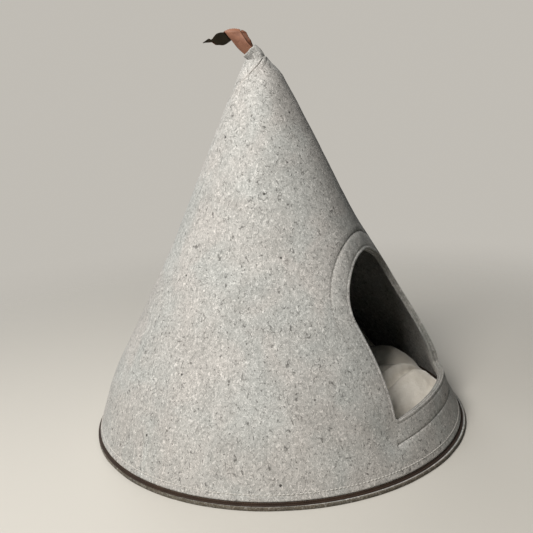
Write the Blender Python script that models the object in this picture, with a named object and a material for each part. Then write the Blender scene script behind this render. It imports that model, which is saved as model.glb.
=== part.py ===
"""Felt cat cave: a felt cone on a round felt base, with a cushion inside.

One felt panel is wrapped into a cone and lapped up the back. An arched entrance is cut in its
front and faced with a second ring of felt inside. A zip joins the cone to the base. A short
felt collar stands out of the apex round two leather strips.

Metres, +Z up. The origin is the centre of the base's underside. The entrance faces -Y.
Azimuths are measured from the entrance (-Y) towards +X. Sizes below are in millimetres.
"""
import math

import bmesh
import bpy
from mathutils import Vector
from mathutils.geometry import delaunay_2d_cdt

MM = 0.001

# Driving dimensions
BASE_RADIUS = 200.0
BASE_THICKNESS = 3.7
BASE_SOFT_EDGE = 0.6
FELT = 3.1                  # thickness of the shell's and the facing's felt
GAP = 0.3                   # air left between two pieces that touch
LAP_GAP = 0.5               # air between the two layers of the shell's lap
LAP_WIDTH = 14.0
LAP_RAMP = 22.0             # stretch over which the inner layer dips under the outer one
LAP_TRIM = 3.5              # the inner layer is cut this much short at the hem, over the zip
FACING_WIDTH = 24.0
LEAN_AZIMUTH = math.radians(-153.0)   # the way in which the apex leans

# Cone: outer radius and sideways lean at each height
SHELL_SECTIONS = [
    # height, radius, lean
    (6.8, 196.2, 1.3),
    (35.0, 185.4, 2.5),
    (70.0, 171.4, 2.6),
    (140.0, 132.8, 2.6),
    (210.0, 95.8, 2.4),
    (280.0, 62.9, 3.0),
    (340.0, 34.9, 4.4),
    (384.0, 13.7, 5.0),
]
TOP_DROP = 3.0              # how much lower the cone's top edge is on the side it leans to
SHOULDER = 3.6              # how far the top is pressed in on the side away from the lean
SHOULDER_LENGTH = 22.0
SEAM_OFFSET = 15.0          # distance of the panel's straight edge from the flat pattern's apex

# Entrance, as cut in the flat panel: x from its centre line, y up from the sill
SILL_HEIGHT = 55.5          # height of the sill's middle above the floor
ENTRANCE_HEIGHT = 155.6
SPRING_HEIGHT = 98.0        # where the arch starts
SPRING_HALF_WIDTH = 67.4
SILL_HALF_WIDTH = 79.5
SIDE_FLARE_POWER = 2.2
SILL_SAG = 3.5              # the sill's ends are this much above its middle in the flat panel
CORNER_RADIUS = 7.0
EDGE_FLARE = 2.6            # the cut sides spring outwards by this much
FLARE_AZIMUTHS = (0.20, 0.42, 0.55, 1.05)   # the flare starts, is full, starts to fade and ends
CORNER_DENT = 2.2           # soft dents below the entrance's two lower corners
DENT_AZIMUTH = 0.50
DENT_SPREAD = (0.13, 0.17)  # in azimuth, and up as a share of the entrance's height

# Slow swells of the soft felt all round the cone
SWELLS = [
    # height, waves round the cone, turn per mm up, start
    (0.7, 3.0, 0.011, 0.6),
    (0.5, 5.0, -0.023, 2.1),
]

# Mesh steps
RING_STEPS = 96
CELL = 14.5
OUTLINE_STEP = 9.0
CORNER_STEPS = 3
ARCH_STEPS = 11
SECTION_STEPS = 24          # smooth rows between two of the cone's sections
SIDE_EDGE_STEPS = 24        # steps along each of the panel's straight edges
TOP_EDGE_STEPS = 36
WELD = 0.0001

# Cushion rim: its lobes (crests) and the folds between them
CUSHION_RIM = [
    # azimuth in degrees, reach, height
    (-175.0, 151.0, 52.0),
    (-155.0, 160.0, 66.0),
    (-134.0, 151.0, 50.0),
    (-112.0, 161.0, 64.0),
    (-92.0, 151.0, 48.0),
    (-70.0, 160.0, 58.0),
    (-50.0, 149.0, 42.0),
    (-32.0, 154.0, 45.0),
    (-8.0, 146.0, 36.0),
    (20.0, 176.0, 57.0),
    (33.0, 167.0, 46.0),
    (46.0, 168.0, 54.0),
    (60.0, 156.0, 46.0),
    (79.0, 162.0, 74.0),
    (101.0, 152.0, 54.0),
    (122.0, 161.0, 69.0),
    (143.0, 152.0, 54.0),
    (164.0, 160.0, 68.0),
]
CUSHION_MIDDLE_HEIGHT = 43.0
CUSHION_CREST_AT = 0.76     # share of the reach where the rim is highest
CUSHION_FOOT_AT = 0.86      # share of the reach that rests on the base
CUSHION_TOP_RINGS = (0.12, 0.28, 0.44, 0.60)   # shares of the reach
CUSHION_RIM_STEPS = 7
CUSHION_STEPS = 108

# Leather strips. Inside the collar they follow it. Beyond its rim, these are the front strip's
# two edges, as left (towards the lean), up and front (towards a viewer who sees the lean go left).
# The front strip folds over the back one's end and comes down to the left behind itself.
STRAP_FREE_EDGES = [
    # right edge: left, up, front; left edge: left, up, front
    (15.2, 397.6, 4.6, 25.2, 392.6, -2.0),
    (17.8, 402.2, 3.0, 31.5, 401.2, -1.0),
    (20.2, 406.2, 1.5, 35.0, 405.8, -1.0),
    (21.3, 408.8, 0.4, 36.9, 408.7, -1.5),
    (21.6, 410.5, -3.4, 37.6, 409.7, -4.8),
    (22.2, 408.6, -7.6, 39.0, 408.9, -8.6),
    (25.7, 404.5, -8.8, 42.0, 408.6, -8.2),
    (32.0, 400.0, -8.4, 45.6, 407.4, -6.8),
    (38.2, 396.4, -6.0, 48.4, 404.8, -4.8),
    (43.5, 396.5, -3.8, 50.5, 402.2, -3.2),
    (47.0, 396.9, -2.6, 52.7, 401.8, -2.2),
    (49.2, 399.2, -1.8, 54.9, 401.7, -1.5),
    (54.1, 399.4, -1.0, 56.9, 400.9, -0.8),
    (58.6, 399.5, -0.6, 59.2, 399.8, -0.4),
]
STRAP_WIDTH = 12.0
STRAP_GAP = 0.65            # air between the two strips, which bend together
STRAP_THICKNESS = 1.8
STRAP_BACK_ASIDES = (2.0, 2.7, 4.4, 3.8)     # how far the back strip is moved aside at those rows
STRAP_SUBDIVISIONS = 3

# Collar: a flattened felt tube, from inside the cone's top to its leaning rim
COLLAR_SECTIONS = [
    # left, up, tilt from upright in degrees
    (6.0, 368.0, 0.0),
    (6.1, 376.0, 3.0),
    (7.1, 382.4, 16.0),
    (9.9, 386.8, 34.0),
    (13.9, 390.3, 43.0),
]
COLLAR_HALF_WIDTH = 8.4
COLLAR_HALF_DEPTH = 5.0
COLLAR_WALL = 1.8
COLLAR_YAW = math.radians(32.0)       # how far the flat tube is turned about its own axis
COLLAR_STEPS = 28

# Zip
ZIP_TAPE = 0.9
ZIP_TAPE_HEIGHT = 9.0
ZIP_TAPE_REACH = 10.0
ZIP_COIL_HALF_WIDTH = 2.1
ZIP_COIL_INSET = 2.3        # the coil's centre is this far inside the shell's outer face
ZIP_LIP = 2.4               # the lower tape shows this far outside the shell's edge
ZIP_EASE = 16.0             # the tape eases in over this length to pass the shell's lap

COLOURS = {
    # slot: red, green, blue (linear), roughness
    "felt_grey": (0.38, 0.365, 0.335, 0.95),
    "zip_brown": (0.075, 0.042, 0.026, 0.8),
    "plush_cream": (0.72, 0.64, 0.52, 0.95),
    "leather_tan": (0.38, 0.19, 0.11, 0.55),
    "leather_brown": (0.12, 0.055, 0.032, 0.65),
}


# ---------------------------------------------------------------- helpers

def smoothstep(low, high, value):
    """0 below low, 1 above high, and an even S between them."""
    share = min(max((value - low) / (high - low), 0.0), 1.0)
    return share * share * (3.0 - 2.0 * share)


def catmull_rom(before, start, end, after, share):
    """Smooth value between start and end, with its neighbours on both sides."""
    return 0.5 * (
        2.0 * start
        + (end - before) * share
        + (2.0 * before - 5.0 * start + 4.0 * end - after) * share ** 2
        + (3.0 * start - before - 3.0 * end + after) * share ** 3
    )


def refine_rows(rows, steps):
    """The rows of a table with steps smooth rows in place of each."""
    fine = []
    for index in range(len(rows) - 1):
        before = rows[max(index - 1, 0)]
        start, end = rows[index], rows[index + 1]
        after = rows[min(index + 2, len(rows) - 1)]
        for step in range(steps):
            share = step / steps
            fine.append(tuple(catmull_rom(*values, share) for values in zip(before, start, end, after)))
    fine.append(tuple(rows[-1]))
    return fine


def new_object(name, points, faces, slot):
    """A smooth-shaded mesh object, from points in millimetres."""
    mesh = bpy.data.meshes.new(name)
    mesh.from_pydata([tuple(MM * value for value in point) for point in points], [], faces)
    mesh.materials.append(material(slot))
    mesh.shade_smooth()
    mesh.set_sharp_from_angle(angle=math.radians(40.0))
    made = bpy.data.objects.new(name, mesh)
    bpy.context.scene.collection.objects.link(made)
    return made


def material(slot):
    """The Principled material of a slot, made once."""
    if slot in bpy.data.materials:
        return bpy.data.materials[slot]
    made = bpy.data.materials.new(slot)
    made.use_nodes = True
    shader = made.node_tree.nodes["Principled BSDF"]
    red, green, blue, roughness = COLOURS[slot]
    shader.inputs["Base Color"].default_value = (red, green, blue, 1.0)
    shader.inputs["Roughness"].default_value = roughness
    shader.inputs["Metallic"].default_value = 0.0
    return made


def spun(name, profile, slot, centre=(0.0, 0.0), radius_shift=None):
    """A ring from a closed profile of (radius, height), listed counter-clockwise.

    radius_shift(index, azimuth) moves one profile point in or out at an azimuth.
    """
    count = len(profile)
    points, faces = [], []
    for step in range(RING_STEPS):
        azimuth = 2.0 * math.pi * step / RING_STEPS
        following = (step + 1) % RING_STEPS
        for index, (radius, height) in enumerate(profile):
            if radius_shift:
                radius += radius_shift(index, azimuth)
            points.append((
                centre[0] + radius * math.sin(azimuth),
                centre[1] - radius * math.cos(azimuth),
                height,
            ))
            after = (index + 1) % count
            faces.append((
                step * count + index, following * count + index,
                following * count + after, step * count + after,
            ))
    return new_object(name, points, faces, slot)


# ---------------------------------------------------------------- cone surface

LEAN_SIDE = Vector((math.sin(LEAN_AZIMUTH), -math.cos(LEAN_AZIMUTH), 0.0))
LEAN_FRONT = Vector((-LEAN_SIDE.y, LEAN_SIDE.x, 0.0))


def slant_table():
    """Rows of (slant, height, radius, lean) along the cone, bottom to top."""
    rows = []
    slant = 0.0
    for height, radius, lean in refine_rows(SHELL_SECTIONS, SECTION_STEPS):
        if rows:
            slant += math.hypot(height - rows[-1][1], radius - rows[-1][2])
        rows.append((slant, height, radius, lean))
    return rows


SLANTS = slant_table()
SLANT_LENGTH = SLANTS[-1][0]
# The flat panel is a sector: an azimuth opens to PATTERN_TURN times itself in the flat.
PATTERN_TURN = (SLANTS[0][2] - SLANTS[-1][2]) / SLANT_LENGTH
PATTERN_RADIUS = SLANTS[0][2] / PATTERN_TURN


def section_at(slant):
    """Height, radius, lean and the profile's direction (radius, height) at a slant length."""
    last = len(SLANTS) - 1
    low, high = 0, last
    while high - low > 1:
        middle = (low + high) // 2
        if SLANTS[middle][0] > slant:
            high = middle
        else:
            low = middle
    start, end = SLANTS[low], SLANTS[high]
    share = (slant - start[0]) / (end[0] - start[0])
    height, radius, lean = (a + (b - a) * share for a, b in zip(start[1:], end[1:]))
    before, after = SLANTS[max(low - 2, 0)], SLANTS[min(high + 2, last)]
    length = math.hypot(after[1] - before[1], after[2] - before[2])
    direction = ((after[2] - before[2]) / length, (after[1] - before[1]) / length)
    return height, radius, lean, direction


def slant_at_height(height):
    """Slant length at which the cone reaches a height."""
    for start, end in zip(SLANTS, SLANTS[1:]):
        if end[1] >= height:
            return start[0] + (end[0] - start[0]) * (height - start[1]) / (end[1] - start[1])
    return SLANT_LENGTH


SILL_SLANT = slant_at_height(SILL_HEIGHT)


def seam_azimuth(slant):
    """Azimuth of the outer layer's edge: at the back, curling round near the apex."""
    reach = PATTERN_RADIUS - slant
    return -math.pi + math.asin(SEAM_OFFSET / reach) / PATTERN_TURN


def lap_depth(azimuth, slant):
    """How far the panel's inner layer lies below the outer face."""
    radius = section_at(slant)[1]
    past_seam = (azimuth - 2.0 * math.pi - seam_azimuth(slant)) * radius
    ramp = min(LAP_RAMP, 0.9 * radius)
    full_at = -0.12 * ramp
    return (FELT + LAP_GAP) * smoothstep(-ramp, full_at, past_seam)


def unevenness(azimuth, slant):
    """Outward swell of the soft felt, from the wrapping and from the cut entrance."""
    quiet = smoothstep(20.0, 70.0, slant) * smoothstep(0.0, 60.0, SLANT_LENGTH - slant)
    waves = 0.0
    for size, count, turn, start in SWELLS:
        waves += size * math.sin(count * azimuth + turn * slant + start)
    side = min(abs(azimuth), math.pi)
    starts, full, fades, ends = FLARE_AZIMUTHS
    beside = smoothstep(starts, full, side) * (1.0 - smoothstep(fades, ends, side))
    up = (slant - SILL_SLANT) / ENTRANCE_HEIGHT
    flare = EDGE_FLARE * beside * smoothstep(-0.15, 0.45, up) * (1.0 - smoothstep(0.75, 1.3, up))
    across, along = (side - DENT_AZIMUTH) / DENT_SPREAD[0], (up + 0.10) / DENT_SPREAD[1]
    above_zip = smoothstep(ZIP_TAPE_HEIGHT + 3.0, ZIP_TAPE_HEIGHT + 23.0, slant)
    dent = CORNER_DENT * above_zip * math.exp(-across ** 2 - along ** 2)
    return quiet * waves + flare - dent


def surface_point(azimuth, slant, depth):
    """Point at a depth below the cone's outer face."""
    height, radius, lean, (outward, upward) = section_at(slant)
    depth = depth - unevenness(azimuth, slant)
    radius -= depth * upward
    height += depth * outward
    drop = TOP_DROP * smoothstep(45.0, 0.0, SLANT_LENGTH - slant)
    height -= drop * 0.5 * (1.0 + math.cos(azimuth - LEAN_AZIMUTH))
    away = 0.5 * (1.0 - math.cos(azimuth - LEAN_AZIMUTH))
    radius -= SHOULDER * away ** 3 * smoothstep(SHOULDER_LENGTH, 0.0, SLANT_LENGTH - slant)
    flat = Vector((math.sin(azimuth), -math.cos(azimuth), 0.0)) * radius + LEAN_SIDE * lean
    return (flat.x, flat.y, height)


# ---------------------------------------------------------------- flat pattern

def to_flat(azimuth, slant):
    """Place of a surface point in the flat panel. The entrance's centre line is at x = 0."""
    turn = azimuth * PATTERN_TURN
    reach = PATTERN_RADIUS - slant
    return Vector((reach * math.sin(turn), -reach * math.cos(turn)))


def from_flat(point):
    """Azimuth and slant of a place in the flat panel."""
    reach = math.hypot(point.x, point.y)
    turn = math.atan2(point.x, -point.y)
    # The inner layer runs past the back, where atan2 would jump.
    if turn < seam_azimuth(PATTERN_RADIUS - reach) * PATTERN_TURN - WELD:
        turn += 2.0 * math.pi
    return turn / PATTERN_TURN, PATTERN_RADIUS - reach


def entrance_half_width(rise):
    """Half the entrance's width at a rise above its sill."""
    if rise > SPRING_HEIGHT:
        share = (rise - SPRING_HEIGHT) / (ENTRANCE_HEIGHT - SPRING_HEIGHT)
        return SPRING_HALF_WIDTH * math.sqrt(max(1.0 - share * share, 0.0))
    below = (SPRING_HEIGHT - rise) / SPRING_HEIGHT
    return SPRING_HALF_WIDTH + (SILL_HALF_WIDTH - SPRING_HALF_WIDTH) * below ** SIDE_FLARE_POWER


def entrance_outline():
    """Right half of the entrance from the sill's middle to the arch's top, then the left half."""
    half = []
    run = SILL_HALF_WIDTH - CORNER_RADIUS
    sill_steps = round(run / OUTLINE_STEP)
    for step in range(sill_steps):
        x = run * step / sill_steps
        half.append((x, SILL_SAG * (x / SILL_HALF_WIDTH) ** 2))
    sill_end = SILL_SAG * (run / SILL_HALF_WIDTH) ** 2
    for step in range(CORNER_STEPS + 1):
        turn = 0.5 * math.pi * step / CORNER_STEPS
        half.append((run + CORNER_RADIUS * math.sin(turn), sill_end + CORNER_RADIUS * (1.0 - math.cos(turn))))
    rise = sill_end + CORNER_RADIUS
    side_steps = round((SPRING_HEIGHT - rise) / OUTLINE_STEP)
    for step in range(1, side_steps):
        y = rise + (SPRING_HEIGHT - rise) * step / side_steps
        half.append((entrance_half_width(y), y))
    for step in range(ARCH_STEPS):
        turn = 0.5 * math.pi * step / ARCH_STEPS
        y = SPRING_HEIGHT + (ENTRANCE_HEIGHT - SPRING_HEIGHT) * math.sin(turn)
        half.append((SPRING_HALF_WIDTH * math.cos(turn), y))
    whole = half + [(0.0, ENTRANCE_HEIGHT)] + [(-x, y) for x, y in reversed(half[1:])]
    middle_y = to_flat(0.0, SILL_SLANT).y
    return [Vector((x, middle_y + y)) for x, y in whole]


def offset_loop(loop, distance):
    """A closed counter-clockwise loop moved outwards."""
    moved = []
    count = len(loop)
    for index, point in enumerate(loop):
        along = loop[(index + 1) % count] - loop[index - 1]
        along.normalize()
        moved.append(point + Vector((along.y, -along.x)) * distance)
    return moved


def inside(loop, point):
    """Whether a point is inside a closed loop."""
    odd = False
    for start, end in zip(loop, loop[1:] + loop[:1]):
        if (start.y > point.y) != (end.y > point.y):
            if point.x < start.x + (end.x - start.x) * (point.y - start.y) / (end.y - start.y):
                odd = not odd
    return odd


def distance_to(loop, point):
    """Distance of a point from a closed loop."""
    best = math.inf
    for start, end in zip(loop, loop[1:] + loop[:1]):
        along = end - start
        share = min(max((point - start).dot(along) / along.length_squared, 0.0), 1.0)
        best = min(best, (start + along * share - point).length)
    return best


def panel_outline():
    """The flat panel's edge: bottom arc, inner layer's edge, top arc, outer layer's edge."""
    loop = []

    def inner_edge(slant):
        return seam_azimuth(slant) + 2.0 * math.pi + LAP_WIDTH / section_at(slant)[1]

    def arc(slant, steps, backwards, trim):
        start, end = seam_azimuth(slant), inner_edge(slant)
        for step in range(steps):
            share = step / steps
            share = 1.0 - share if backwards else share
            azimuth = start + (end - start) * share
            trimmed = trim * lap_depth(azimuth, slant) / (FELT + LAP_GAP)
            loop.append(to_flat(azimuth, slant + trimmed))

    arc(0.0, RING_STEPS, False, LAP_TRIM)
    for row in range(SIDE_EDGE_STEPS):
        slant = LAP_TRIM + (SLANT_LENGTH - LAP_TRIM) * row / SIDE_EDGE_STEPS
        loop.append(to_flat(inner_edge(slant), slant))
    arc(SLANT_LENGTH, TOP_EDGE_STEPS, True, 0.0)
    for row in range(SIDE_EDGE_STEPS):
        slant = SLANT_LENGTH * (1.0 - row / SIDE_EDGE_STEPS)
        loop.append(to_flat(seam_azimuth(slant), slant))
    return loop


def inner_points(outlines):
    """Staggered points between the outlines, about a cell apart."""
    points = []
    row_height = CELL * math.sqrt(0.75)
    rows = round(SLANT_LENGTH / row_height)
    for row in range(1, rows):
        slant = SLANT_LENGTH * row / rows
        radius = section_at(slant)[1]
        columns = max(TOP_EDGE_STEPS, round(2.0 * math.pi * radius / CELL))
        step = 2.0 * math.pi / columns
        start = seam_azimuth(slant)
        for column in range(columns + columns // 3):
            point = to_flat(start + step * (column + 0.5 * (row % 2)), slant)
            spacing = min(CELL, radius * step)
            if not inside(outlines[0], point) or inside(outlines[1], point):
                continue
            if min(distance_to(outline, point) for outline in outlines) > 0.55 * spacing:
                points.append(point)
    return points


def triangulate(points, loops):
    """Points and triangles of the flat area, with the loops kept as edges."""
    points = list(points)
    edges = []
    for loop in loops:
        first = len(points)
        points.extend(loop)
        count = len(loop)
        edges.extend((first + index, first + (index + 1) % count) for index in range(count))
    flat, _, triangles, *_ = delaunay_2d_cdt(points, edges, [], 0, WELD)
    return flat, triangles


def felt_sheet(name, flat, triangles, outer_depth, inner_depth):
    """A thick sheet over the given triangles, laid on the cone between two depths."""
    used = sorted({index for triangle in triangles for index in triangle})
    place = {index: number for number, index in enumerate(used)}
    count = len(used)
    points = []
    for depth in (outer_depth, inner_depth):
        for index in used:
            azimuth, slant = from_flat(flat[index])
            points.append(surface_point(azimuth, slant, depth(azimuth, slant)))
    faces = []
    edge_uses = {}
    for triangle in triangles:
        a, b, c = (place[index] for index in triangle)
        faces.append((a, b, c))
        faces.append((c + count, b + count, a + count))
        for edge in ((a, b), (b, c), (c, a)):
            edge_uses[edge] = edge_uses.get(edge, 0) + 1
    for a, b in edge_uses:
        if (b, a) not in edge_uses:
            faces.append((b, a, a + count, b + count))
    return new_object(name, points, faces, "felt_grey")


def middle_of(flat, triangle):
    """The centre of a flat triangle."""
    return (flat[triangle[0]] + flat[triangle[1]] + flat[triangle[2]]) / 3.0


# ---------------------------------------------------------------- pieces

def make_shell_and_facing():
    """The cone's panel, and the ring of felt behind its entrance, on one flat mesh."""
    panel = panel_outline()
    entrance = entrance_outline()
    facing_edge = offset_loop(entrance, FACING_WIDTH)
    facing_middle = offset_loop(entrance, 0.5 * FACING_WIDTH)
    points = inner_points([panel, facing_edge])
    flat, triangles = triangulate(points, [panel, entrance, facing_middle, facing_edge])
    shell, facing = [], []
    for triangle in triangles:
        middle = middle_of(flat, triangle)
        if not inside(panel, middle) or inside(entrance, middle):
            continue
        shell.append(triangle)
        if inside(facing_edge, middle):
            facing.append(triangle)
    felt_sheet("shell", flat, shell, lap_depth, lambda a, s: lap_depth(a, s) + FELT)
    facing_top = FELT + GAP
    felt_sheet("entrance_facing", flat, facing, lambda a, s: facing_top, lambda a, s: facing_top + FELT)


def make_base():
    """The round felt base, its cut edge slightly softened."""
    mesh = bpy.data.meshes.new("base_disc")
    shape = bmesh.new()
    bmesh.ops.create_cone(
        shape, cap_ends=True, segments=RING_STEPS, depth=BASE_THICKNESS * MM,
        radius1=BASE_RADIUS * MM, radius2=BASE_RADIUS * MM,
    )
    top_rim = [edge for edge in shape.edges if all(vert.co.z > 0.0 for vert in edge.verts)]
    bmesh.ops.bevel(shape, geom=top_rim, offset=BASE_SOFT_EDGE * MM, segments=2, affect="EDGES", profile=0.5)
    bmesh.ops.translate(shape, verts=shape.verts, vec=(0.0, 0.0, 0.5 * BASE_THICKNESS * MM))
    shape.to_mesh(mesh)
    shape.free()
    mesh.materials.append(material("felt_grey"))
    mesh.shade_smooth()
    mesh.set_sharp_from_angle(angle=math.radians(40.0))
    made = bpy.data.objects.new("base_disc", mesh)
    bpy.context.scene.collection.objects.link(made)


def make_zip():
    """Closed zip: coil between shell and base, one tape up the shell and one along the base."""
    height, radius, lean, (outward, upward) = section_at(0.0)
    low = BASE_THICKNESS + GAP
    tape = ZIP_TAPE
    coil = radius - ZIP_COIL_INSET
    coil_edge = coil + ZIP_COIL_HALF_WIDTH
    coil_crown = coil + 0.55 * ZIP_COIL_HALF_WIDTH
    # The shell's cut edge slopes down inwards, and the tape follows its inner face.
    inner_face = radius - (FELT + GAP) * upward
    inner_low = height + (FELT + GAP) * outward
    coil_high = inner_low - GAP + (coil_crown - inner_face) * -outward / upward
    tape_top = (inner_face + ZIP_TAPE_HEIGHT * outward - 2.0 * GAP, inner_low + ZIP_TAPE_HEIGHT * upward)
    profile = [
        (radius + ZIP_LIP, low),
        (radius + ZIP_LIP, low + 0.8 * tape),
        (radius + 0.5 * ZIP_LIP, low + 1.2 * tape),
        (coil_edge, low + 0.8 * (coil_high - low)),
        (coil_crown, coil_high),
        (inner_face + 0.5 * GAP, inner_low - GAP),
        (inner_face, inner_low - GAP),
        tape_top,
        (tape_top[0] - tape, tape_top[1]),
        (inner_face - tape, inner_low - GAP),
        (inner_face - tape, low + tape),
        (coil - ZIP_TAPE_REACH, low + tape),
        (coil - ZIP_TAPE_REACH, low),
    ]
    tape_points = (6, 7, 8, 9)
    seam = seam_azimuth(0.0)

    def over_the_lap(index, azimuth):
        if index not in tape_points:
            return 0.0
        turned = azimuth - 2.0 * math.pi if azimuth > math.pi else azimuth
        past = (turned - seam) * radius
        if past > math.pi * radius:
            past -= 2.0 * math.pi * radius
        rise = smoothstep(-LAP_RAMP - ZIP_EASE, -LAP_RAMP, past)
        fall = 1.0 - smoothstep(LAP_WIDTH + 2.0, LAP_WIDTH + ZIP_EASE, past)
        return -(FELT + LAP_GAP + 0.2) * min(rise, fall)

    centre = LEAN_SIDE * lean
    spun("base_zip", profile, "zip_brown", centre, over_the_lap)


def rim_at(azimuth):
    """Reach and height of the cushion's rim at an azimuth."""
    degrees = math.degrees(azimuth)
    rows = CUSHION_RIM + [(CUSHION_RIM[0][0] + 360.0, *CUSHION_RIM[0][1:])]
    if degrees < rows[0][0]:
        degrees += 360.0
    for start, end in zip(rows, rows[1:]):
        if degrees <= end[0]:
            share = smoothstep(start[0], end[0], degrees)
            return tuple(a + (b - a) * share for a, b in zip(start[1:], end[1:]))
    return rows[-1][1:]


def make_cushion():
    """One filled solid: a low middle, a puffy lobed rim and a flat underside."""
    foot = BASE_THICKNESS + GAP
    points = [(0.0, 0.0, CUSHION_MIDDLE_HEIGHT)]
    rings = 0
    for share in (*CUSHION_TOP_RINGS, CUSHION_CREST_AT):
        for step in range(CUSHION_STEPS):
            azimuth = -math.pi + 2.0 * math.pi * step / CUSHION_STEPS
            reach, crest = rim_at(azimuth)
            height = CUSHION_MIDDLE_HEIGHT
            height += (crest - height) * smoothstep(CUSHION_TOP_RINGS[1], CUSHION_CREST_AT, share)
            points.append((share * reach * math.sin(azimuth), -share * reach * math.cos(azimuth), height))
        rings += 1
    for ring in range(1, CUSHION_RIM_STEPS + 1):
        turn = math.pi * ring / CUSHION_RIM_STEPS
        for step in range(CUSHION_STEPS):
            azimuth = -math.pi + 2.0 * math.pi * step / CUSHION_STEPS
            reach, crest = rim_at(azimuth)
            middle = 0.5 * (crest + foot)
            inner = CUSHION_CREST_AT if turn < 0.5 * math.pi else CUSHION_FOOT_AT
            share = inner + (1.0 - inner) * math.sin(turn)
            height = middle + (crest - middle) * math.cos(turn)
            points.append((share * reach * math.sin(azimuth), -share * reach * math.cos(azimuth), height))
        rings += 1
    faces = []
    for step in range(CUSHION_STEPS):
        after = (step + 1) % CUSHION_STEPS
        faces.append((0, 1 + step, 1 + after))
        for ring in range(rings - 1):
            inner, outer = 1 + ring * CUSHION_STEPS, 1 + (ring + 1) * CUSHION_STEPS
            faces.append((inner + step, outer + step, outer + after, inner + after))
    last = 1 + (rings - 1) * CUSHION_STEPS
    faces.append(tuple(last + step for step in reversed(range(CUSHION_STEPS))))
    new_object("cushion", points, faces, "plush_cream")


def apex_place(left, up, front):
    """Point at a distance left, up and front of the apex line."""
    flat = LEAN_SIDE * left + LEAN_FRONT * front
    return Vector((flat.x, flat.y, up))


def squared(value):
    """A sine or cosine, bent so that the round section becomes a flattened one."""
    return math.copysign(math.sqrt(abs(value)), value)


def collar_frame(left, up, tilt):
    """Middle, wide direction and deep direction of a collar section, as left, up, front."""
    lean = math.radians(tilt)
    middle = Vector((left, up, 0.0))
    in_plane = Vector((-math.cos(lean), math.sin(lean), 0.0))
    front = Vector((0.0, 0.0, 1.0))
    wide = in_plane * math.cos(COLLAR_YAW) + front * math.sin(COLLAR_YAW)
    deep = front * math.cos(COLLAR_YAW) - in_plane * math.sin(COLLAR_YAW)
    return middle, wide, deep


def make_collar():
    """Flattened felt tube round the strips, leaning over at its rim."""
    sections = refine_rows(COLLAR_SECTIONS, 3)
    points, faces = [], []
    for wall in (0.0, COLLAR_WALL):
        for left, up, tilt in sections:
            middle, wide, deep = collar_frame(left, up, tilt)
            for step in range(COLLAR_STEPS):
                turn = 2.0 * math.pi * step / COLLAR_STEPS
                across = (COLLAR_HALF_WIDTH - wall) * squared(math.cos(turn))
                through = (COLLAR_HALF_DEPTH - wall) * squared(math.sin(turn))
                points.append(tuple(apex_place(*(middle + wide * across + deep * through))))
    rows = len(sections)
    inner = rows * COLLAR_STEPS
    for step in range(COLLAR_STEPS):
        after = (step + 1) % COLLAR_STEPS
        for row in range(rows - 1):
            low, high = row * COLLAR_STEPS, (row + 1) * COLLAR_STEPS
            faces.append((low + after, low + step, high + step, high + after))
            faces.append((inner + low + step, inner + low + after, inner + high + after, inner + high + step))
        top = (rows - 1) * COLLAR_STEPS
        faces.append((top + after, top + step, inner + top + step, inner + top + after))
        faces.append((step, after, inner + after, inner + step))
    new_object("apex_collar", points, faces, "felt_grey")


def strap_edges():
    """Edge pairs of the front strip, from inside the collar to its free end."""
    rows = []
    for section in COLLAR_SECTIONS[1:]:
        middle, wide, deep = collar_frame(*section)
        face = middle + deep * (STRAP_THICKNESS + 0.5 * STRAP_GAP)
        rows.append((*(face + wide * 0.5 * STRAP_WIDTH), *(face - wide * 0.5 * STRAP_WIDTH)))
    return rows + STRAP_FREE_EDGES


def back_strap_edges():
    """Edge pairs of the back strip, which moves aside once it is out of the collar."""
    inside_rows = len(COLLAR_SECTIONS) - 1
    asides = [0.0] * inside_rows + list(STRAP_BACK_ASIDES)
    rows = []
    for row, distance in zip(strap_edges(), asides):
        right, left = Vector(row[:3]), Vector(row[3:])
        aside = (right - left).normalized() * distance
        rows.append((*(right + aside), *(left + aside)))
    return rows


def make_strip(name, rows, set_back, slot):
    """A leather strip along a table of edge pairs, set back behind the front strip's face."""
    sections = []
    fine = refine_rows(rows, STRAP_SUBDIVISIONS)
    pairs = [(apex_place(*row[:3]), apex_place(*row[3:])) for row in fine]
    for index, (right, left) in enumerate(pairs):
        before = pairs[max(index - 1, 0)]
        after = pairs[min(index + 1, len(pairs) - 1)]
        along = (after[0] + after[1]) - (before[0] + before[1])
        face = (right - left).cross(along).normalized()
        near, far = face * -set_back, face * -(set_back + STRAP_THICKNESS)
        middle = (right + left) * 0.5
        sections.append((left + near, middle + near, right + near, right + far, middle + far, left + far))
    count = len(sections[0])
    points = [tuple(point) for section in sections for point in section]
    faces = []
    for row in range(len(sections) - 1):
        low, high = row * count, (row + 1) * count
        for index in range(count):
            after = (index + 1) % count
            faces.append((low + index, low + after, high + after, high + index))
    end = (len(sections) - 1) * count
    for first, flipped in ((0, True), (end, False)):
        for corners in ((0, 1, 4, 5), (1, 2, 3, 4)):
            face = tuple(first + corner for corner in corners)
            faces.append(tuple(reversed(face)) if flipped else face)
    new_object(name, points, faces, slot)


def build():
    """All pieces of the cat cave."""
    for existing in list(bpy.data.objects):
        bpy.data.objects.remove(existing, do_unlink=True)
    make_shell_and_facing()
    make_base()
    make_zip()
    make_cushion()
    make_collar()
    make_strip("strap_front", strap_edges(), 0.0, "leather_tan")
    make_strip("strap_back", back_strap_edges(), STRAP_THICKNESS + STRAP_GAP, "leather_brown")


build()
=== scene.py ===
"""Looks of the felt cat cave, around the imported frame.

The cone is one felt panel, meshed finely in its flat pattern and laid on the same surface as the
solid. Stitch lines press grooves into it. The cushion is filled by a cloth simulation, and its
folds are placed afterwards. Lengths are in millimetres until a mesh is made. Azimuths run from the
entrance (-Y) towards +X, and "left" and "front" at the apex are as the camera sees them.
"""
import functools
import math

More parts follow.
